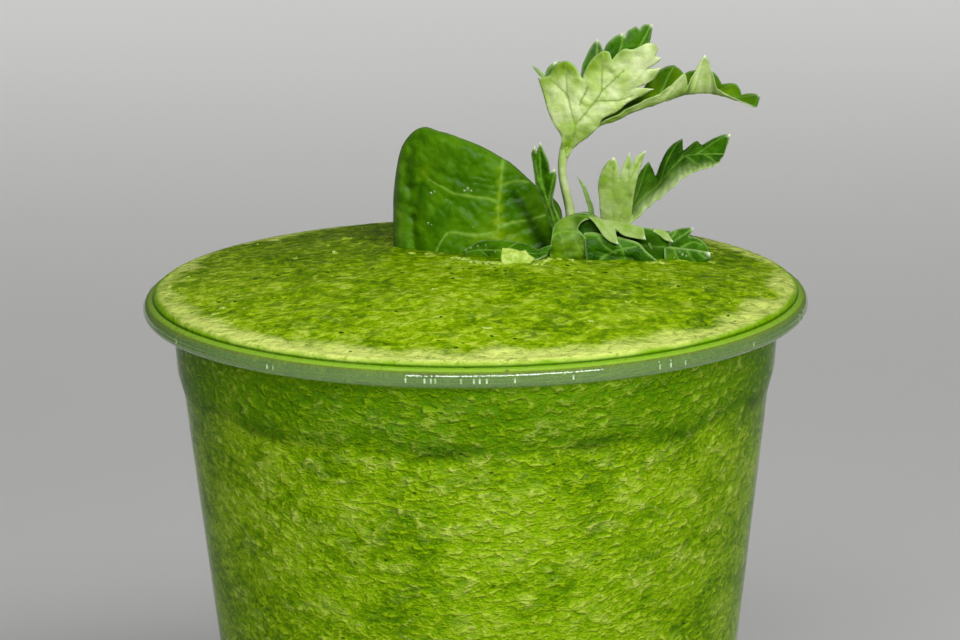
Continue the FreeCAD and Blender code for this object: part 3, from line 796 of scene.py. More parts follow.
def stalkPart(path, radii):
    # a round ribbed stalk along a smooth path
    route = [Vector(toPlace(*p)) for p in path]
    sides, perSpan = stalkShape["sides"], stalkShape["perSpan"]
    spans = len(route) - 1
    steps = spans * perSpan
    points, faces = [], []
    for k in range(steps + 1):
        place = k / perSpan
        at = curveThrough(route, place)
        ahead = curveThrough(route, min(place + 0.05, spans)) - curveThrough(route, max(place - 0.05, 0))
        side = ahead.normalized().cross(Vector((0, 1, 0))).normalized()
        depth = ahead.normalized().cross(side).normalized()
        i = min(int(place), spans - 1)
        radius = radii[i] + (radii[i + 1] - radii[i]) * (place - i)
        for j in range(sides):
            angle = 2 * math.pi * j / sides
            ribbed = radius * (1 + stalkShape["ribDepth"] * math.cos(stalkShape["ribs"] * angle))
            points.append(tuple(at + (side * math.cos(angle) + depth * math.sin(angle)) * ribbed))
    for k in range(steps):
        for j in range(sides):
            a, b = k * sides + j, k * sides + (j + 1) % sides
            faces += [(a, b, b + sides), (a, b + sides, a + sides)]
    for end in (0, steps * sides):
        centre = len(points)
        points.append(tuple(np.mean(points[end:end + sides], axis=0)))
        for j in range(sides):
            a, b = end + j, end + (j + 1) % sides
            faces.append((centre, a, b) if end else (centre, b, a))
    marks = {name: np.zeros(len(points)) for name in ("vein", "edge", "tint", "bruiseAndShade", "tip")}
    marks["under"] = np.full(len(points), stalkShape["under"])
    return np.array(points), faces, marks


def joinParts(name, parts):
    points, faces = [], []
    marks = {}
    base = 0
    for partPoints, partFaces, partMarks in parts:
        points.append(partPoints)
        faces += [tuple(i + base for i in face) for face in partFaces]
        for mark, values in partMarks.items():
            marks.setdefault(mark, []).append(values)
        base += len(partPoints)
    marks = {mark: np.concatenate(values) for mark, values in marks.items()}
    return makePiece(name, np.concatenate(points), faces, marks)


# Outlines, veins and creases are (to the right, above the crown); a crease adds its depth and its width.
# Bend is the round shell that a leaf lies on: its radius, a point on its axis and the way the axis runs.
# Spots are (to the right, above the crown, radius, strength): turned shows the underside, tint lightens and the dark
# spots darken, for dark marks and for painted shade in creases and a painted shadow on the basil. In folded leaves,
# veins and spots are counted along the lines and across them instead.

# basil: the cupped leaf at the back left
basil = {
    "outline": [(-12.3, 0.6), (-12.3, -1.0), (-8, -1.5), (-3, -2.5), (4, -3), (10.5, -3), (12.6, -2), (13.0, 2.2),
                (13.1, 4.6), (12.7, 6.2), (11.6, 7.6), (9.6, 9.2), (7.8, 10.9), (5.6, 13.0), (3.8, 14.1),
                (1.2, 15.6), (-2.2, 16.9), (-5.2, 17.7), (-7.5, 18.1), (-9.5, 16.8), (-11.1, 14), (-12.1, 8.5),
                (-12.3, 4)],
    "veins": [[(4.3, 13.6), (3.9, 10), (3.5, 6.8), (3.5, 4.2), (3.3, -2)],
              [(3.3, 7.5), (2.5, 8), (0.2, 8.3), (-3, 8.8), (-4.5, 9.5), (-6.8, 10.6)],
              [(3.4, 3.2), (0, 2.6), (-3.0, 2.9), (-4.2, 2.6), (-5.5, 0.4), (-5.8, -1)],
              [(3.6, 3.8), (5.8, 4.5), (8, 4.8), (10.5, 5.2)],
              [(4.0, 10), (6, 10.6), (8, 10.2)]],
    "bend": (21, (3, 26.5, 0), (0, 0.1, 1)), "back": 0.9, "puff": 0.26, "puffWidth": 1.6,
    "ripple": 0.34, "veinWidth": 0.26, "edgeWidth": 0.3, "curl": 0.7, "seed": 3.0, "thickness": 0.4, "step": 0.26,
    "creases": [([(-9.3, 14.8), (-10.0, 12.6), (-9.9, 10.5), (-9.3, 6.8), (-9.2, 3.5), (-9.0, -1)], 0.6, 0.8),
                ([(-7.8, 10.4), (-8.3, 8.6), (-8.8, 6.0)], 0.35, 0.5),
                ([(-6.6, 12.4), (-4, 11.2), (-1, 10.6)], 0.25, 0.5),
                ([(0.6, 12.3), (3.0, 11.7)], 0.13, 0.26), ([(0.2, 11.4), (3.0, 10.9)], 0.13, 0.26),
                ([(0.0, 10.5), (3.0, 10.0)], 0.13, 0.26), ([(0.4, 9.6), (3.0, 9.2)], 0.13, 0.26),
                ([(4.5, 11.4), (6.8, 11.6)], 0.12, 0.26), ([(4.4, 9.3), (6.6, 9.4)], 0.12, 0.26),
                ([(4.2, 8.2), (6.4, 7.8)], 0.12, 0.28), ([(1.0, 6.4), (3.0, 6.0)], 0.12, 0.28),
                ([(-3.5, 7.6), (-1, 6.2), (0.6, 4.6)], 0.3, 0.6), ([(5, 2.6), (8, 3.2)], 0.2, 0.5)],
    "turned": [(-11.5, 14.4, 1.0, 0.35), (-11.7, 11.8, 1.2, 0.5), (-11.8, 8.6, 1.3, 0.55), (-11.7, 5.0, 1.4, 0.55),
               (-11.6, 1.6, 1.5, 0.45)],
    "tint": [(3.7, 12.4, 0.5, 0.4), (3.8, 10.4, 0.55, 0.6), (3.7, 8.6, 0.6, 0.7), (3.6, 6.6, 0.7, 0.8),
             (3.5, 4.6, 0.9, 0.85), (3.4, 2.6, 1.2, 0.85), (3.3, 0.8, 1.3, 0.7), (1.6, 1.4, 2.2, 0.4),
             (5.6, 1.6, 1.8, 0.4), (-7.3, 12.0, 0.6, 0.35), (-7.6, 10.8, 0.5, 0.3)],
    # dark spots: painted shade in the crease along the left fold, soft dark patches, and a painted shadow of the
    # stalk's blade across the right
    "bruiseAndShade": [(-9.5, 13.4, 0.7, 0.35), (-10.0, 11.4, 0.7, 0.55), (-9.8, 9.4, 0.7, 0.6), (-9.4, 7.0, 0.7, 0.6),
               (-9.2, 4.6, 0.7, 0.55), (-9.1, 2.2, 0.7, 0.5), (1.0, 9.6, 1.2, 0.25), (-2.2, 10.4, 1.4, 0.25),
               (6.4, 11.2, 1.4, 0.3)] + [(5.9 + 4.6 * t, 8.8 - 7.6 * t - 1.2 * t * t, 0.5 + 0.7 * t, 0.7 + 0.3 * t)
                                         for t in (k / 16 for k in range(17))],
}

# top leaf of the parsley: the pale wing in front and the dark wing behind it
topFront = {
    "outline": [(13.2, 14.2), (13.0, 15.6), (12.9, 17.6), (11.8, 19.4), (11.0, 21.3), (10.4, 23.5), (9.6, 26.0),
                (10.6, 26.3), (11.3, 26.7), (11.7, 27.4), (12.1, 28.2), (12.8, 28.7), (13.6, 29.0), (14.4, 28.8),
                (15.1, 28.1), (15.6, 27.2), (16.0, 26.4), (16.4, 27.6), (17.2, 29.1), (18.3, 30.3), (19.1, 30.7),
                (19.9, 30.5), (20.3, 29.4), (21.2, 30.5), (22.1, 31.1), (23.2, 31.0), (24.2, 31.4), (25.3, 31.9),
                (26.3, 31.8), (27.0, 31.0), (26.6, 29.9), (27.6, 29.5), (26.8, 28.7), (25.4, 27.8), (27.5, 28.0),
                (26.7, 26.4), (25.3, 25.5), (22.6, 24.5), (24.2, 25.0), (26.6, 24.6), (25.0, 23.8), (22.8, 22.7),
                (21.1, 21.3), (19.0, 20.2), (18.4, 19.0), (16.8, 17.3), (15.2, 16.2), (14.5, 15.2), (14.0, 14.2)],
    "veins": [[(14.3, 15.5), (14.8, 17.6), (15.0, 19.4), (14.5, 21.3), (14.0, 23.6), (13.8, 25.6), (13.7, 28.4)],
              [(14.0, 23.6), (13.0, 24.8), (11.4, 26.0)],
              [(15.0, 19.4), (16.5, 21.2), (17.8, 23.0), (18.8, 24.6), (18.9, 27), (19.1, 30.2)],
              [(17.8, 23.0), (19.3, 23.2), (21.4, 23.2), (23.5, 23.8)],
              [(18.8, 24.6), (20.4, 26.2), (22.0, 27.8)], [(16.8, 25.3), (16.5, 24.4), (16.0, 23.4), (15.7, 22.5)]],
    "bend": (14, (13.7, 20, 16), (0.45, -0.25, 0.87)), "front": 1.0, "back": 0.0, "veinWidth": 0.11,
    "puff": 0.2, "ripple": 0.3, "seed": 5.0, "edgeWidth": 0.22, "step": 0.27,
    "tint": [(13.4, 28.4, 2.2, 1.0), (12.0, 27.6, 1.2, 0.9), (14.8, 28.2, 1.7, 1.0), (19.0, 30.4, 2.2, 1.0),
             (17.2, 28.6, 1.8, 0.95), (20.4, 30.0, 1.5, 0.85), (21.6, 30.8, 1.7, 0.9), (24.0, 31.4, 1.2, 0.5),
             (26.6, 31.2, 0.9, 0.6), (10.4, 25.8, 1.3, 0.7), (14.2, 19.2, 2.0, 0.4), (16.5, 17.6, 2.0, 0.85),
             (14, 16.2, 1.7, 0.95), (10.2, 25.6, 1.0, 0.7), (15.2, 26.0, 0.9, 0.7), (14.4, 24.4, 1.0, 0.4),
             (26.4, 26.8, 0.9, 0.6), (25.0, 24.0, 1.0, 0.7), (18.6, 19.4, 1.2, 0.6)],
    "bruiseAndShade": [(16.4, 24.2, 0.3, 0.35)],
    "tips": [(27.6, 29.5), (27.5, 28.0), (26.6, 24.6)],
}
topBack = {
    "outline": [(13.8, 15.6), (15.6, 24), (16.1, 27.2), (16.7, 28.7), (17.5, 30.3), (18.5, 31.4), (19.0, 30.5),
                (19.3, 29.6), (20.1, 30.9), (21.2, 31.8), (22.3, 32.2), (22.5, 31.6), (23.1, 32.5), (24.2, 33.1),
                (24.8, 32.6), (25.5, 33.3), (26.8, 33.2), (26.6, 31.8), (26, 29.5), (25, 26), (19.4, 20),
                (14.8, 15.6)],
    "veins": [[(14.4, 16), (17.2, 23), (18.2, 28), (18.5, 31)], [(14.4, 16), (19, 24), (21.8, 29.5), (22.2, 32)],
              [(15, 17), (21, 25), (24.6, 30), (26.4, 33)]],
    "bend": (25, (13.7, 31.5, 16), (0.35, 0.2, 0.9)), "veinWidth": 0.2,
    "puff": 0.25, "ripple": 0.3, "seed": 8.0, "edgeWidth": 0.2,
    "tips": [(18.5, 31.4), (22.3, 32.2), (26.8, 33.2)],
}
leftTooth = {
    "outline": [(10.6, 25.4), (10.9, 26.6), (11.6, 27.5), (12.3, 27.9), (13.2, 27.8), (14, 27), (13, 25)],
    "veins": [[(12.6, 25.2), (12.1, 27.4)]],
    "bend": (25, (13.7, 33.2, 16), (0.35, 0.2, 0.9)), "veinWidth": 0.15,
    "tips": [(12.2, 27.9)],
}
tipTooth = {
    "outline": [(10.9, 24.8), (10.0, 25.7), (9.2, 26.6), (8.7, 27.3), (9.5, 26.9), (10.4, 26.2), (11.4, 25.2)],
    "veins": [[(10.9, 25.3), (9.6, 26.5)]], "bend": (25, (13.7, 33.2, 16), (0.35, 0.2, 0.9)), "front": 0.15,
    "veinWidth": 0.12, "step": 0.2, "tips": [(8.7, 27.7)],
}
middleFan = {
    "outline": [(20, 1.2), (19.2, 3.4), (18.8, 5.4), (18.7, 7.5), (18.5, 9.3), (18.9, 11.5), (19.8, 13.2),
                (20.8, 14.1), (21.5, 12.7), (21.6, 10.6), (22.0, 12.3), (23.1, 14.8), (23.6, 12.7), (24.1, 14.0),
                (25.6, 15.0), (24.9, 12.7), (24.1, 9.6), (23.6, 6.4), (23.4, 3.8), (22.4, 1.2)],
    "veins": [[(21.2, 1.6), (20.8, 4.4), (20.7, 7.3), (20.7, 10.7), (20.8, 13.6)],
              [(21.2, 1.8), (21.9, 5.0), (22.8, 7.4), (23.0, 10.4), (23.1, 14.2)],
              [(22.9, 9.8), (24.0, 12.3), (25.2, 14.5)]],
    "bend": (9, (21.5, 16.5, 5), (0.12, -0.1, 1)), "front": 0.86, "back": 0.0, "veinWidth": 0.16,
    "puff": 0.22, "ripple": 0.22, "seed": 11.0, "edgeWidth": 0.2, "step": 0.25,
    "tint": [(21.5, 8, 6, 0.7), (19.2, 10.4, 1.6, 0.85), (20.5, 13.2, 1.2, 0.75), (23.2, 12.8, 1.3, 0.75),
             (24.2, 10, 1.2, 0.7), (24.8, 13.8, 0.9, 0.65), (20.4, 4, 1.6, 0.6)],
    "bruiseAndShade": [(23.3, 8.2, 0.45, 0.5), (22.9, 12.5, 0.3, 0.4), (20.8, 12.4, 0.25, 0.4)],
    "tips": [(20.8, 14.1), (23.1, 14.8), (25.6, 15.0)],
}
frontBlade = {
    "outline": [(11.8, 2.8), (11.3, 4.5), (10.9, 5.8), (10.4, 7.3), (9.8, 9.0), (9.1, 10.9), (8.8, 12.9),
                (8.6, 14.6), (8.4, 16.1), (8.9, 17.3), (9.1, 16.3), (9.7, 18.0), (10.2, 16.6), (10.7, 15.4),
                (11.0, 14.4), (11.2, 13.1), (11.8, 13.6), (12.1, 12.4), (12.0, 11.0), (11.7, 9.6), (11.6, 8.4),
                (11.8, 7.3), (12.3, 6.1), (12.7, 5.0), (12.9, 3.4)],
    "veins": [[(12.2, 3.4), (11.7, 5.4), (11.1, 7.4), (10.4, 9.6), (9.8, 12.4), (9.6, 16.8)],
              [(11.0, 7.8), (11.3, 10.2), (11.7, 12.8)], [(10.3, 9.9), (9.5, 12.0), (9.0, 15)]],
    "bend": (9, (10.5, 11.6, 10), (0, -0.45, 1)), "veinWidth": 0.15,
    "puff": 0.2, "ripple": 0.25, "seed": 14.0, "edgeWidth": 0.16, "step": 0.24,
    "creases": [([(10.8, 9.4), (10.2, 12.4), (9.8, 16)], 0.3, 0.4)],
    "tint": [(10.4, 7.6, 0.6, 0.5), (12.6, 5.2, 0.5, 0.5)],
    "tips": [(8.9, 17.3), (9.7, 18.0), (11.8, 13.6)],
}
backBlade = {
    "outline": [(16.8, -1), (17.1, 5), (16.7, 7), (16.1, 9), (15.4, 10.6), (16.6, 9.2), (17.4, 7.2), (18, 5),
                (18.2, -1)],
    "veins": [[(17.5, -1), (17.4, 5), (16.2, 9.2)]],
    "bend": (12, (17, 22, 5), (0.1, 0, 1)), "front": 0.1, "back": 0.9, "veinWidth": 0.15, "step": 0.25,
    "ripple": 0.1, "puff": 0.1, "edgeWidth": 0.25,
}
branch = {
    "lines": [[(18.5, 5.3, 19.2), (21.5, 4.6, 20.9), (24.2, 4.2, 22.4), (27.4, 3.8, 23.9), (29.0, 3.4, 25.2),
               (31, 2.6, 27.2), (31.5, 3.8, 25.1), (32.7, 3.5, 27.4), (34, 3.1, 29.8), (35, 4.0, 27.3),
               (35.9, 4.6, 24.5), (37.5, 5.3, 23.5), (41.5, 5.5, 21.5)],
              [(18.5, 5.6, 19), (21, 5.5, 19.9), (23.5, 5.5, 21), (26.3, 5.5, 21.9), (28, 5.5, 22.6),
               (29.8, 5.5, 23.1), (31.2, 5.7, 23.4), (32.6, 5.8, 23.6), (34, 5.9, 23.7), (35.2, 6, 23.6),
               (36.4, 6.2, 23.3), (39, 6.5, 22.4), (42, 6.3, 21.5)],
              [(18.5, 6.2, 19.5), (21.5, 7, 21), (24.5, 8, 23.0), (26.5, 9, 25.2), (28, 10, 26.6), (30, 11, 27.1),
               (31.4, 9.6, 25.9), (32.8, 10, 26.4), (35.4, 9, 26.4), (37.0, 8.8, 24.5), (39.1, 8.8, 24.4),
               (39.8, 8, 23), (42.7, 8, 23.0)]],
    "veins": [[(0, 1), (12, 1)], [(3.5, 1), (5, 0.06)], [(6.6, 1), (8, 0.06)], [(9, 1), (11, 0.1)],
              [(3.3, 1), (5, 1.9)], [(6.6, 1), (8, 1.9)], [(8.6, 1), (10, 1.9)], [(10, 1), (12, 1.9)]],
    "sideScale": 5.0, "belly": 0.12, "seed": 17.0, "veinWidth": 0.2,
    "tint": [(0, 0.6, 2.6, 0.8), (3, 0.95, 1.0, 0.7), (5.6, 0.95, 1.0, 0.8), (8.4, 0.6, 1.0, 0.6),
             (10, 0.6, 1.5, 0.6)],
    "bruiseAndShade": [(6.3, 0.5, 0.3, 0.6), (9.6, 0.6, 0.4, 0.35), (2.2, 1.4, 0.8, 0.5)],
    "tips": [(34, 29.8), (42.7, 23.0)],
}
middleGutter = {
    "lines": [[(22.2, 7.6, 3.2), (23.8, 7.4, 4.2), (25.6, 7, 6.2), (27, 6.5, 7.4), (28.5, 6, 8.8),
               (30.8, 5.2, 11.0), (32.2, 4.6, 12), (33.6, 4.2, 12.6), (35, 4, 13.0), (36.3, 4.2, 13.6)],
              [(22.2, 8.4, 3.6), (23.6, 8.5, 5.4), (25.6, 8.5, 7.6), (27.6, 8.5, 9.2), (29, 8.6, 11.0),
               (30.6, 8.6, 12.9), (31.6, 8.4, 13.6), (33.2, 8, 14), (35, 7.6, 14.1), (37.2, 7.2, 14.1)],
              [(22.4, 9.2, 3.9), (24.2, 11, 9.2), (26.3, 12.4, 12.3), (27.3, 11.5, 10.2), (29.2, 13, 13.8),
               (31.5, 14, 15.4), (31.1, 12, 13.6), (33.6, 12.4, 15.3), (34.2, 11.5, 14.7), (38.4, 9, 16.9)]],
    "veins": [[(0, 1), (9, 1)], [(3, 1), (5, 1.9)], [(1, 1), (2, 1.9)], [(5.5, 1), (7, 1.85)], [(7, 1), (9, 1.9)],
              [(4, 1), (5.4, 0.1)], [(6, 1), (7.4, 0.1)], [(7.6, 1), (8.8, 0.1)]],
    "sideScale": 4.0, "belly": 0.12, "seed": 19.0, "veinWidth": 0.2,
    "tint": [(0, 0.4, 1.2, 0.5), (2.6, 0.3, 1.0, 0.3)],
    "turned": [(0, 0.3, 1.0, 0.8)] + [(k / 2, 0.1, 0.8 - 0.035 * k, 0.75 - 0.02 * k) for k in range(1, 18)],
    "bruiseAndShade": [(3.0, 1.5, 1.0, 0.4), (6.0, 1.5, 1.0, 0.35)],
    "tips": [(38.4, 16.9)],
}
# the leaf that lies in front: a glossy bulge, folded dark blades, pale turned lobes and the toothed end
lyingBlades = {
    "hollow": {
        "outline": [(14.6, 5.2), (15.4, 5.8), (16.6, 5.9), (17.6, 5.4), (18.6, 4.4), (19.6, 2.8), (19.4, 0.6),
                    (17.2, 0.4), (15.6, 1.6), (14.8, 3.4)],
        "veins": [[(15.2, 4.6), (16.4, 5.2), (17.4, 5.0)]], "bend": (8, (16.5, 13.4, 4), (0.25, 0.1, 1)),
        "bruiseAndShade": [(16.8, 4.0, 1.4, 0.75), (18.4, 3.0, 1.3, 0.7)], "edgeWidth": 0.14, "seed": 41.0},
    "behind": {
        "outline": [(20.2, 2.4), (22.4, 3.5), (25.2, 3.7), (27.4, 3.1), (28.9, 1.6), (29.6, -0.6), (29.4, -2.4),
                    (26, -2.2), (23.4, -1.8), (21.4, 0.6)],
        "veins": [[(21.6, 1.9), (24.4, 1.2), (27, 0.8), (28.6, 0.6)], [(24.4, 1.2), (25.4, -0.4)]],
        "bend": (12, (25, 16.8, 1), (0.2, 0, 1)),
        "bruiseAndShade": [(23.6, 2.2, 1.6, 0.8), (26.2, 1.4, 1.8, 0.75), (27.6, -0.4, 1.5, 0.6)], "seed": 43.0},
    "endUpper": {
        "outline": [(25.0, 3.0), (26.9, 3.1), (28.6, 2.5), (30.2, 2.9), (31.4, 3.0), (32.9, 2.9), (32.1, 1.8),
                    (33.3, 1.5), (34.3, 0.8), (35.1, -0.4), (34.9, -2.0), (31, -2.0), (28.4, -1.4), (26.4, 0.2)],
        "veins": [[(28.4, 0.7), (30.4, 1.7), (32.5, 2.7)], [(30.8, 0.3), (32.6, 0.9), (34.0, 0.4)],
                  [(28.4, 0.7), (29.4, 1.8), (30.1, 2.6)]],
        "bend": (5, (30, 11.3, 0), (1, 0.35, 0)), "bruiseAndShade": [(27.6, 1.6, 1.3, 0.5), (29.4, 0.9, 1.2, 0.35)],
        "tips": [(32.9, 2.9)], "seed": 45.0},
    "endLower": {
        "outline": [(28.2, 0.8), (30.2, 0.4), (31.9, 0.1), (33.4, -0.2), (34.6, -0.5), (35.3, -0.7), (35.2, -2.0),
                    (34.0, -2.7), (31.9, -2.7), (29.4, -2.6), (28.4, -1.6)],
        "veins": [[(28.2, 0.7), (30.2, 0.3), (31.9, 0.0), (33.4, -0.3), (35.2, -0.8)], [(29.6, 0.4), (30.2, -1.0),
                                                                                        (30.9, -1.9)],
                  [(31.6, 0.0), (32.2, -1.0), (33.0, -1.9)], [(33.2, -0.2), (33.8, -0.9), (34.6, -1.5)]],
        "bend": (3.6, (30, 9.0, -1.2), (1, 0.35, 0)), "puff": 0.3, "tips": [(35.2, -0.8)], "seed": 47.0,
        "tint": [(29.4, -0.8, 0.8, 0.35)], "bruiseAndShade": [(30.8, -0.6, 1.2, 0.3), (32.8, -1.0, 1.2, 0.35)]},
    "lower": {
        "outline": [(16.2, 3.2), (17.5, 3.3), (19.3, 2.9), (21.2, 2.6), (22.8, 2.2), (24.4, 1.6), (25.5, 0.4),
                    (26.6, -0.6), (27.4, -1.4), (27.4, -2.2), (24, -2.1), (21, -1.8), (18.6, -1.6), (16.6, -1.4),
                    (16.4, 0.5)],
        "veins": [[(16.2, 3.1), (19.3, 2.7), (22.8, 2.0), (24.3, 1.4), (25.6, 0.1), (27.2, -1.2)],
                  [(18.6, -0.6), (20.6, 0.5), (22.4, 0.9), (24, 1.1)], [(20.8, 2.3), (21.8, 0.9), (22.4, -0.8)],
                  [(18.4, 2.5), (19.4, 1.2), (21.0, 0.2)]],
        "bend": (5, (21, 7.9, 0), (1, 0.1, 0)), "puff": 0.34, "seed": 49.0,
        "creases": [([(18.0, 0.6), (20.4, -0.3), (23.4, -0.6)], 0.5, 0.45)],
        "bruiseAndShade": [(19.0, 1.8, 0.9, 0.5), (20.6, -0.6, 1.2, 0.6), (23.4, -0.9, 1.3, 0.6), (17.8, -0.6, 0.8, 0.5)]},
    "bulge": {
        "outline": [(11.4, 2.9), (11.6, 3.9), (12.1, 4.7), (13.2, 5.3), (14.6, 5.6), (16.2, 5.8), (17.4, 5.7),
                    (18.5, 5.2), (17.4, 5.1), (16.3, 4.9), (15.6, 4.4), (15.3, 3.8), (15.9, 3.2), (16.6, 2.3),
                    (17.2, 1.2), (17.7, 0.0), (18.0, -1.4), (16, -1.4), (14, -1.2), (12.4, -1.0), (11.4, -0.8),
                    (11.1, 0.4), (11.2, 1.8)],
        "veins": [[(11.3, 2.8), (12.0, 3.3), (13.2, 3.5), (14.6, 3.5), (15.7, 3.2)], [(13.4, 5.0), (15, 5.4),
                                                                                      (17.6, 5.4)],
                  [(12.6, 3.2), (13.2, 1.6), (13.4, 0.2)], [(14.4, 3.4), (15.2, 1.6), (16.0, 0.2)]],
        "bend": (4.3, (13, 6.9, 1.6), (1, 0.1, 0)), "puff": 0.34, "ripple": 0.5, "seed": 51.0, "veinWidth": 0.16,
        "edgeWidth": 0.1, "step": 0.2,
        "tint": [(13.6, 4.4, 1.8, 0.7), (13.2, 1.6, 2.2, 0.7), (15.4, 0.8, 1.8, 0.6), (12.2, -0.4, 1.6, 0.7),
                 (16.6, 5.4, 0.8, 0.5)],
        # the pale spots here are painted highlights on the glossy bulge
        "turned": [(13.8, 4.5, 1.0, 0.35), (14.6, 2.7, 0.8, 0.3), (13.0, 2.0, 0.8, 0.22), (15.6, 1.2, 0.8, 0.25),
                   (14.0, 0.6, 0.8, 0.2)],
        "bruiseAndShade": [(15.4, 4.6, 0.7, 0.5), (11.2, 2.2, 0.5, 0.5), (16.9, 0.4, 0.6, 0.35), (12.4, 2.6, 0.5, 0.3)]},
    "lobes": {
        "outline": [(16.9, 5.5), (17.8, 5.5), (19.2, 5.1), (20.8, 4.9), (22.8, 4.5), (25.1, 3.9), (25.4, 2.2),
                    (24.1, 2.4), (22.8, 2.7), (21.8, 3.1), (20.8, 4.0), (21.3, 1.7), (20.3, 2.0), (19.2, 2.8),
                    (18.4, 3.9), (17.7, 4.8)],
        "veins": [[(18.4, 4.9), (19.6, 3.6), (21.0, 2.0)], [(21.4, 4.5), (23.2, 3.4), (25.1, 2.5)]],
        "bend": (6, (22, 8.4, 0.5), (1, 0.12, 0)), "front": 0.7, "back": 0.0, "puff": 0.16, "seed": 53.0,
        "veinWidth": 0.1,
        "tint": [(21, 3.6, 6, 0.55), (17.8, 5.2, 0.9, 0.7), (22.6, 3.9, 1.2, 0.85), (24.6, 3.2, 1.1, 0.9),
                 (20.8, 4.6, 0.9, 0.5)],
        "tips": [(21.3, 1.7), (25.4, 2.2)]},
    "lastLobe": {
        "outline": [(26.2, 3.3), (27.6, 3.4), (28.7, 2.8), (29.6, 1.5), (28.4, 1.8), (27.5, 2.5)],
        "veins": [[(27.0, 3.1), (28.4, 2.4), (29.3, 1.7)]], "bend": (6, (28, 10.2, 0), (1, 0.2, 0)),
        "front": 0.8, "back": 0.0, "tint": [(27.8, 2.8, 1.2, 0.8)], "tips": [(29.6, 1.5)], "seed": 55.0},
}
bladeDefaults = {"back": 0.8, "puff": 0.22, "veinWidth": 0.17, "edgeWidth": 0.15, "step": 0.24,
                 "thickness": 0.24}
strip = {
    "lines": [[(-1.6, 4.4, -0.3), (0.5, 3.6, -0.5), (2, 2.4, -0.5), (3.6, 0.2, -0.5), (5.2, 0, -0.5),
               (7.5, 0.2, -0.3), (9.3, 0.2, 0), (10.6, 0.6, 0.6)],
              [(-1.6, 4.7, 0.1), (0.1, 4.2, 0.6), (1.5, 3.5, 0.8), (3.4, 2.3, 0.9), (5.4, 1.9, 0.8),
               (7.6, 1.5, 0.8), (9.4, 1.0, 0.7), (10.9, 0.9, 1.2)],
              [(-1.6, 5, 0.3), (-0.3, 4.8, 1.4), (1, 4.6, 2.0), (3.2, 4.2, 2.0), (5.5, 3.8, 2.1), (7.8, 2.8, 1.7),
               (9.4, 1.6, 1.2), (11.4, 1.1, 2.2)]],
    "veins": [[(0, 1), (7, 1)], [(1.5, 1), (2.5, 0.1)], [(3.5, 1), (4.5, 1.9)]],
    "back": 0.8, "sideScale": 2.2, "belly": 0.05, "onDrink": True,
    "tint": [(1.0, 1.0, 1.6, 0.12), (3.2, 1.0, 1.8, 0.12)], "seed": 31.0, "across": 18,
    "puff": 0.2, "ripple": 0.2, "veinWidth": 0.14, "edgeWidth": 0.16, "thickness": 0.3,
}
# each stalk is a path (to the right, back, above the crown) and its radius at each point of the path
stalks = {
    "stalk": ([(15.2, 9, -9), (14.9, 9, -2), (14.6, 8.5, 3.5), (14.2, 8, 6.5), (13.4, 7, 10), (13.1, 6.5, 12.5),
               (13.4, 6.4, 15), (13.9, 7.0, 16.8), (14.3, 7.6, 18.4)],
              [0.98, 0.9, 0.8, 0.7, 0.62, 0.62, 0.7, 0.66, 0.4]),
    "branchStem": ([(13.6, 6.1, 15.5), (16, 6, 17.4), (18.5, 5.7, 19.2), (20.5, 5.5, 20)], [0.45, 0.42, 0.4, 0.35]),
    "middleStem": ([(15.4, 9, -4), (17.5, 9, -1.5), (20, 8.6, 1.2), (21.8, 8.2, 3.4), (23.6, 8.4, 4.9)],
                   [0.5, 0.5, 0.6, 0.7, 0.65]),
    "frontStem": ([(15.0, 9, -3), (14.2, 7.6, 0.5), (13.2, 6.2, 2.6), (12.6, 5.3, 4.0), (12.4, 5.0, 5.0)],
                  [0.5, 0.45, 0.4, 0.32, 0.26]),
    "backStem": ([(15.4, 9, -3), (17, 9.9, -1), (17.6, 10.1, 3)], [0.45, 0.45, 0.4]),
}
basilLook = {
    "upperDark": (0.030, 0.112, 0.0), "upperLight": (0.066, 0.180, 0.0), "underDark": (0.10, 0.22, 0.012),
    "underLight": (0.17, 0.32, 0.03), "upperVein": (0.20, 0.36, 0.04), "underVein": (0.26, 0.42, 0.08),
    "tint": (0.19, 0.31, 0.0), "bruiseAndShade": (0.006, 0.026, 0.0), "edge": (0.12, 0.25, 0.03), "veinShow": 0.75,
    "underVeinShow": 0.8, "edgeShow": 0.5, "netShow": 0.05, "gloss": 0.1, "bump": 0.16, "tip": (0.5, 0.6, 0.3),
    "roughness": 0.4, "netSize": 0.7,
}
parsleyLook = {
    "upperDark": (0.011, 0.062, 0.0), "upperLight": (0.045, 0.155, 0.0), "underDark": (0.40, 0.55, 0.13),
    "underLight": (0.66, 0.74, 0.40), "upperVein": (0.20, 0.40, 0.05), "underVein": (0.15, 0.27, 0.02),
    "tint": (0.14, 0.26, 0.0), "bruiseAndShade": (0.006, 0.03, 0.0), "edge": (0.42, 0.58, 0.22), "veinShow": 0.6,
    "underVeinShow": 0.8, "edgeShow": 0.5, "netShow": 0.08, "gloss": 0.1, "bump": 0.25, "tip": (0.8, 0.86, 0.65),
    "roughness": 0.38, "netSize": 1.3,
}


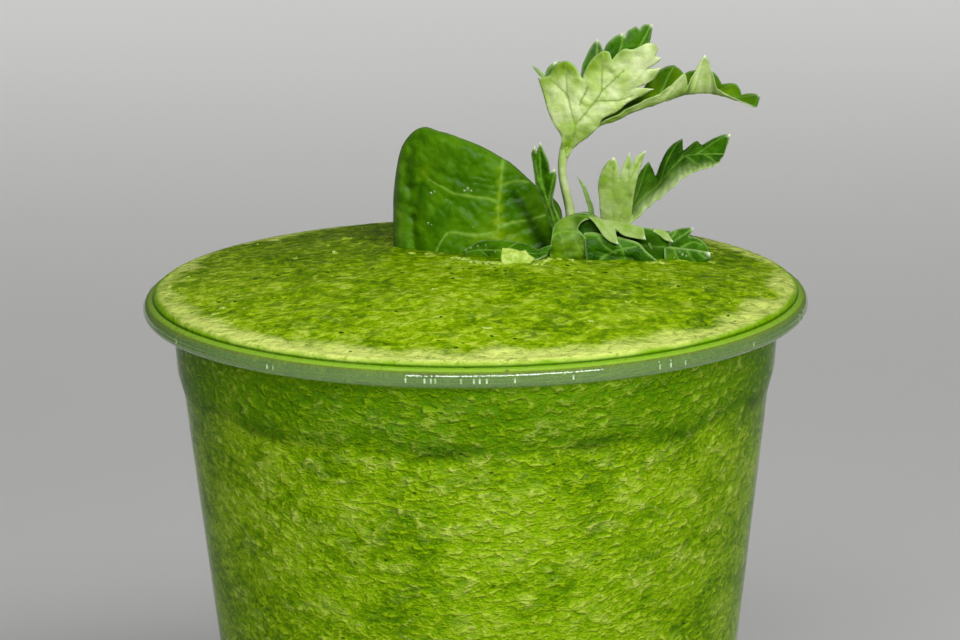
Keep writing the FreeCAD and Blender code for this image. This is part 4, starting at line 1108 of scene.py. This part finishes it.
def leafMaterial(name, skin, look):
    material, tree, shader = newMaterial(name, IOR=1.42, Specular_IOR_Level=look["gloss"])
    pattern = placeGroup(tree, skin, objectVector(tree), **{"Net Size": look["netSize"]})
    net, tone = pattern.outputs["Net"], pattern.outputs["Tone"]
    under, vein, edge, tint, bruiseAndShade, tip = (
        markValue(tree, mark) for mark in ("under", "vein", "edge", "tint", "bruiseAndShade", "tip"))
    sides = [mixColour(tree, tone, look[side + "Dark"], look[side + "Light"]) for side in ("upper", "under")]
    for mark, shows in ((net, ("netShow", "netShow")), (vein, ("veinShow", "underVeinShow"))):
        sides = [mixColour(tree, times(tree, mark, look[show]), colour, look[side + "Vein"])
                 for side, colour, show in zip(("upper", "under"), sides, shows)]
    colour = mixColour(tree, under, *sides)
    tint = times(tree, tint, between(tree, vein, 0.0, 1.0, 1.0, 0.35))  # veins stay paler than the tint
    colour = mixColour(tree, tint, colour, look["tint"])
    colour = mixColour(tree, bruiseAndShade, colour, look["bruiseAndShade"])
    colour = mixColour(tree, times(tree, edge, look["edgeShow"]), colour, look["edge"])
    colour = mixColour(tree, tip, colour, look["tip"])
    tree.links.new(colour, shader.inputs["Base Color"])
    rough = look["roughness"]
    tree.links.new(between(tree, tone, 0.0, 1.0, rough - 0.08, rough + 0.08), shader.inputs["Roughness"])
    bumpInto(tree, shader, pattern.outputs["Height"], look["bump"], 0.0002)
    return material


def buildLeaves(skin):
    basilSkin = leafMaterial("basilLeaf", skin, basilLook)
    parsleySkin = leafMaterial("parsleyLeaf", skin, parsleyLook)
    finishPiece(joinParts("basilLeaf", [sheetLeaf(basil)]), basilSkin, ["basil_leaf"])
    parts = [sheetLeaf(shape) for shape in (topFront, topBack, leftTooth, tipTooth, middleFan, frontBlade, backBlade)]
    parts += [foldLeaf(branch), foldLeaf(middleGutter)]
    parts += [stalkPart(path, radii) for path, radii in stalks.values()]
    finishPiece(joinParts("parsleySprig", parts), parsleySkin, ["parsley_sprig"])
    parts = [sheetLeaf({**bladeDefaults, **shape}) for shape in lyingBlades.values()]
    finishPiece(joinParts("lyingParsley", parts), parsleySkin, ["front_leaf"])
    finishPiece(joinParts("leafStrip", [foldLeaf(strip)]), parsleySkin, ["leaf_strip"])


toppings = {
    "flake": {
        "outline": [(4.0, 2.2), (5.4, 2.1), (6.8, 1.7), (7.4, 1.9), (7.9, 1.3), (8.8, 0.7), (8.2, 0.0), (6.6, -0.6),
                    (5.0, -0.9), (3.9, -0.8), (3.8, 0.8)],
        "veins": [[(4.6, 1.8), (5.6, 0.8), (7.6, 0.6)]], "bend": (7, (6, 4.2, -1.5), (1, 0.1, 0)), "front": 1.0,
        "puff": 0.2, "ripple": 0.4, "step": 0.22, "thickness": 0.3, "seed": 61.0, "edgeWidth": 0.2},
    "pulpAt": [(0.2, -1.2, 0.55), (-0.6, -0.8, 0.4), (0.9, -1.4, 0.4), (1.8, -2.2, 0.5), (2.6, -2.0, 0.35),
               (-1.5, 0.6, 0.45), (-2.4, 1.6, 0.35), (-3.1, 2.0, 0.3), (9.4, -2.6, 0.4), (8.9, -3.4, 0.35),
               (3.2, -2.6, 0.4), (10.4, -0.8, 0.35), (11.0, 0.4, 0.4), (26.6, 2.2, 0.4), (27.6, 2.6, 0.35),
               (25.6, 1.9, 0.3), (35.4, 6.6, 0.35), (12.4, 1.4, 0.3), (14.2, 1.4, 0.3), (-9.6, 6.2, 0.3),
               (-7.0, 4.9, 0.3)],
    "pulpShape": (2.2, 1.3, 0.55),
    "scattered": {
        "pulpBits": {"count": 30, "closest": 8, "farthest": 45.6, "sizes": (0.18, 0.5), "shape": (1.8, 1.0, 0.5),
                     "sink": 0.15, "rings": 10, "sides": 16, "uneven": 0.9, "look": "pulp", "slot": "smoothie"},
        "leafSpecks": {"count": 130, "closest": 2, "farthest": 46.0, "sizes": (0.08, 0.3), "shape": (1.5, 1.0, 0.35),
                       "sink": 0.0, "rings": 5, "sides": 7, "uneven": 0.6, "look": "specks", "slot": "parsley"},
        "frothBubbles": {"count": 60, "closest": 30, "farthest": 46.2, "sizes": (0.08, 0.24), "shape": (1.0, 1.0, 0.7),
                         "sink": 0.0, "rings": 6, "sides": 10, "uneven": 0.05, "look": "froth", "slot": "smoothie"}},
    "drops": {
        "basilLeaf": [(-6.5, 8.5, .32), (-6.0, 8.8, .26), (-1.5, 9.2, .28), (-1.0, 9.5, .34), (-0.5, 9.2, .26),
                      (-4.2, 7.7, .15), (-7.0, 4.0, .24), (-6.5, 3.8, .16), (-0.3, 3.8, .14)],
        "lyingParsley": [(13.0, 2.8, .2), (14.7, 2.4, .2), (31.0, -0.6, .3), (30.6, -0.2, .2), (31.6, -0.9, .22),
                         (29.8, -1.0, .2), (22.4, 0.6, .16)],
        "leafStrip": [(-1.4, 0.5, .24), (-0.6, 0.9, .2), (0.4, 1.3, .2), (1.6, 1.5, .16), (3.0, 0.8, .18)]},
    "looks": {
        "pulp": {"dark": (0.24, 0.38, 0.01), "pale": (0.44, 0.56, 0.12), "size": 1.4, "roughness": 0.4, "gloss": 0.3},
        "specks": {"dark": (0.008, 0.035, 0.0), "pale": (0.03, 0.10, 0.0), "size": 3.0, "roughness": 0.5,
                   "gloss": 0.2},
        "froth": {"dark": (0.20, 0.35, 0.0), "pale": (0.36, 0.50, 0.05), "size": 2.0, "roughness": 0.15,
                  "gloss": 0.5}},
    # the drops are painted green: a painted view of the leaf through them
    "water": (0.30, 0.50, 0.16, 1.0), "waterClearness": 0.5,
    "dropShape": (1.0, 0.9, 0.7), "dropRings": 10, "dropSides": 16, "dropUneven": 0.06,
}


def twoToneMaterial(name, dark, pale, size, roughness, gloss):
    material, tree, shader = newMaterial(name, IOR=1.36, Specular_IOR_Level=gloss)
    tone = noiseNode(tree, inMillimetres(tree, objectVector(tree)), size, 3.0, 0.6)
    tree.links.new(mixColour(tree, between(tree, tone, 0.36, 0.64), dark, pale), shader.inputs["Base Color"])
    tree.links.new(between(tree, tone, 0.3, 0.7, roughness, roughness + 0.15), shader.inputs["Roughness"])
    bumpInto(tree, shader, tone, 0.4, 0.0002)
    return material


def waterMaterial():
    material, tree, shader = newMaterial("water", Roughness=0.04, IOR=1.5)
    # green body colour: a painted view of the leaf through the drop
    shader.inputs["Base Color"].default_value = toppings["water"]
    shader.inputs["Transmission Weight"].default_value = toppings["waterClearness"]
    bumpInto(tree, shader, noiseNode(tree, objectVector(tree), 400.0, 2.0), 0.05, 0.0001)
    return material


def topOfDrink(x, y):
    return Vector((x, y, surfaceBelow(x, y) + lumpHeight(x, y)))


def lumpPiece(name, lumps, rings, sides, unevenness, material):
    # small rounded bits: each lump is a place, the way it faces and its three half sizes
    ball = [(0.0, 0.0, -1.0)]
    for i in range(1, rings):
        tilt = math.pi * i / rings
        for k in range(sides):
            way = 2 * math.pi * k / sides
            ball.append((math.sin(tilt) * math.cos(way), math.sin(tilt) * math.sin(way), -math.cos(tilt)))
    ball.append((0.0, 0.0, 1.0))
    ballFaces = latheFaces(rings - 1, sides)
    points, faces = [], []
    for number, (at, facing, sizes) in enumerate(lumps):
        turn = facing.to_track_quat("Z", "Y").to_matrix() @ Matrix.Rotation(random.uniform(0, 6.28), 3, "Z")
        base = len(points)
        for p in ball:
            swell = 1 + unevenness * noise.noise(Vector(p) * 1.7 + Vector((number * 3.1, 0, 0)))
            points.append(tuple(at + turn @ Vector([p[k] * sizes[k] * swell for k in range(3)])))
        faces += [tuple(i + base for i in face) for face in ballFaces]
    return finishPiece(makePiece(name, points, faces), material)


def clearOfLeaves(x, y):
    return not (-14 < x < 13 and -4 < y < 24) and not (10 < x < 38 and 0 < y < 11)


def scatterOnTop(count, closest, farthest):
    # seeded places on the drink, more of them towards the lip
    places = []
    while len(places) < count:
        radius = farthest - (farthest - closest) * random.random() ** 1.4
        angle = random.uniform(0, 2 * math.pi)
        x, y = radius * math.cos(angle), radius * math.sin(angle)
        if clearOfLeaves(x, y):
            places.append((x, y))
    return places


def buildToppings():
    up = Vector((0, 0, 1))
    looks = {name: twoToneMaterial(name, **look) for name, look in toppings["looks"].items()}
    finishPiece(joinParts("paleFlake", [sheetLeaf(toppings["flake"])]), looks["pulp"])
    lumps = [(topOfDrink(x, y), up, [size * k for k in toppings["pulpShape"]]) for x, y, size in toppings["pulpAt"]]
    for name, kind in toppings["scattered"].items():
        for x, y in scatterOnTop(kind["count"], kind["closest"], kind["farthest"]):
            size = random.uniform(*kind["sizes"])
            lumps.append((topOfDrink(x, y) - up * kind["sink"] * size, up, [size * k for k in kind["shape"]]))
        lumpPiece(name, lumps, kind["rings"], kind["sides"], kind["uneven"], looks[kind["look"]])
        lumps = []
    bpy.context.view_layer.update()
    drops = []
    for leafName, places in toppings["drops"].items():
        leaf = bpy.data.objects[leafName]
        for x, high, size in places:
            hit, at, facing, _ = leaf.ray_cast(Vector((x, -60, crownTop + high)) * mm, Vector((0, 1, 0)))
            if hit:
                drops.append((at / mm, facing, [size * k for k in toppings["dropShape"]]))
    lumpPiece("waterDrops", drops, toppings["dropRings"], toppings["dropSides"], toppings["dropUneven"],
              waterMaterial())


light = {
    "key": {"place": (85, -445, 455), "aim": (0, 0, 105), "size": (620, 120), "power": 4.9, "spread": 180},
    "back": {"place": (0, 1500, 1700), "aim": (0, 1400, 0), "size": (2400, 1600), "power": 8.5, "spread": 60},
    "sky": (1.0, 1.0, 1.0), "skyStrength": 0.07, "floor": (0.78, 0.78, 0.76),
    "floorRadius": 4000, "floorSides": 96,
}


def addLamp(name, place, aim, size, power, spread):
    data = bpy.data.lights.new(name, "AREA")
    data.shape = "RECTANGLE"
    data.size, data.size_y = size[0] * mm, size[1] * mm
    data.energy = power
    data.spread = math.radians(spread)
    lamp = bpy.data.objects.new(name, data)
    lamp.location = Vector(place) * mm
    lamp.rotation_euler = (Vector(aim) - Vector(place)).to_track_quat("-Z", "Y").to_euler()
    scene.collection.objects.link(lamp)


def buildStage():
    world = bpy.data.worlds.new("studio")
    scene.world = world
    world.use_nodes = True
    sky = world.node_tree.nodes["Background"]
    sky.inputs["Color"].default_value = (*light["sky"], 1.0)
    sky.inputs["Strength"].default_value = light["skyStrength"]
    addLamp("keyLight", **light["key"])
    addLamp("backLight", **light["back"])
    material, tree, shader = newMaterial("studioFloor", Roughness=0.8)
    tone = noiseNode(tree, objectVector(tree), 3.0)
    colour = mixColour(tree, tone, light["floor"], tuple(0.97 * c for c in light["floor"]))
    tree.links.new(colour, shader.inputs["Base Color"])
    count, radius = light["floorSides"], light["floorRadius"]
    ring = [(radius * math.cos(2 * math.pi * i / count), radius * math.sin(2 * math.pi * i / count), 0.0)
            for i in range(count)]
    floor = makePiece("floor", ring + [(0, 0, 0)], [(i, (i + 1) % count, count) for i in range(count)])
    floor.data.materials.append(material)
    scene.view_settings.view_transform = "Standard"
    scene.view_settings.look = "None"


print("camera")
setCamera()
print("stage")
buildStage()
print("drink")
buildDrink(smoothieMaterial(mottleGroup()))
print("cup")
buildCup([clearPlasticMaterial("clearWall", **cup["wallPlastic"]),
          clearPlasticMaterial("clearLip", **cup["lipPlastic"]), nibMaterial()])
print("leaves")
buildLeaves(leafSkinGroup())
print("small toppings")
buildToppings()
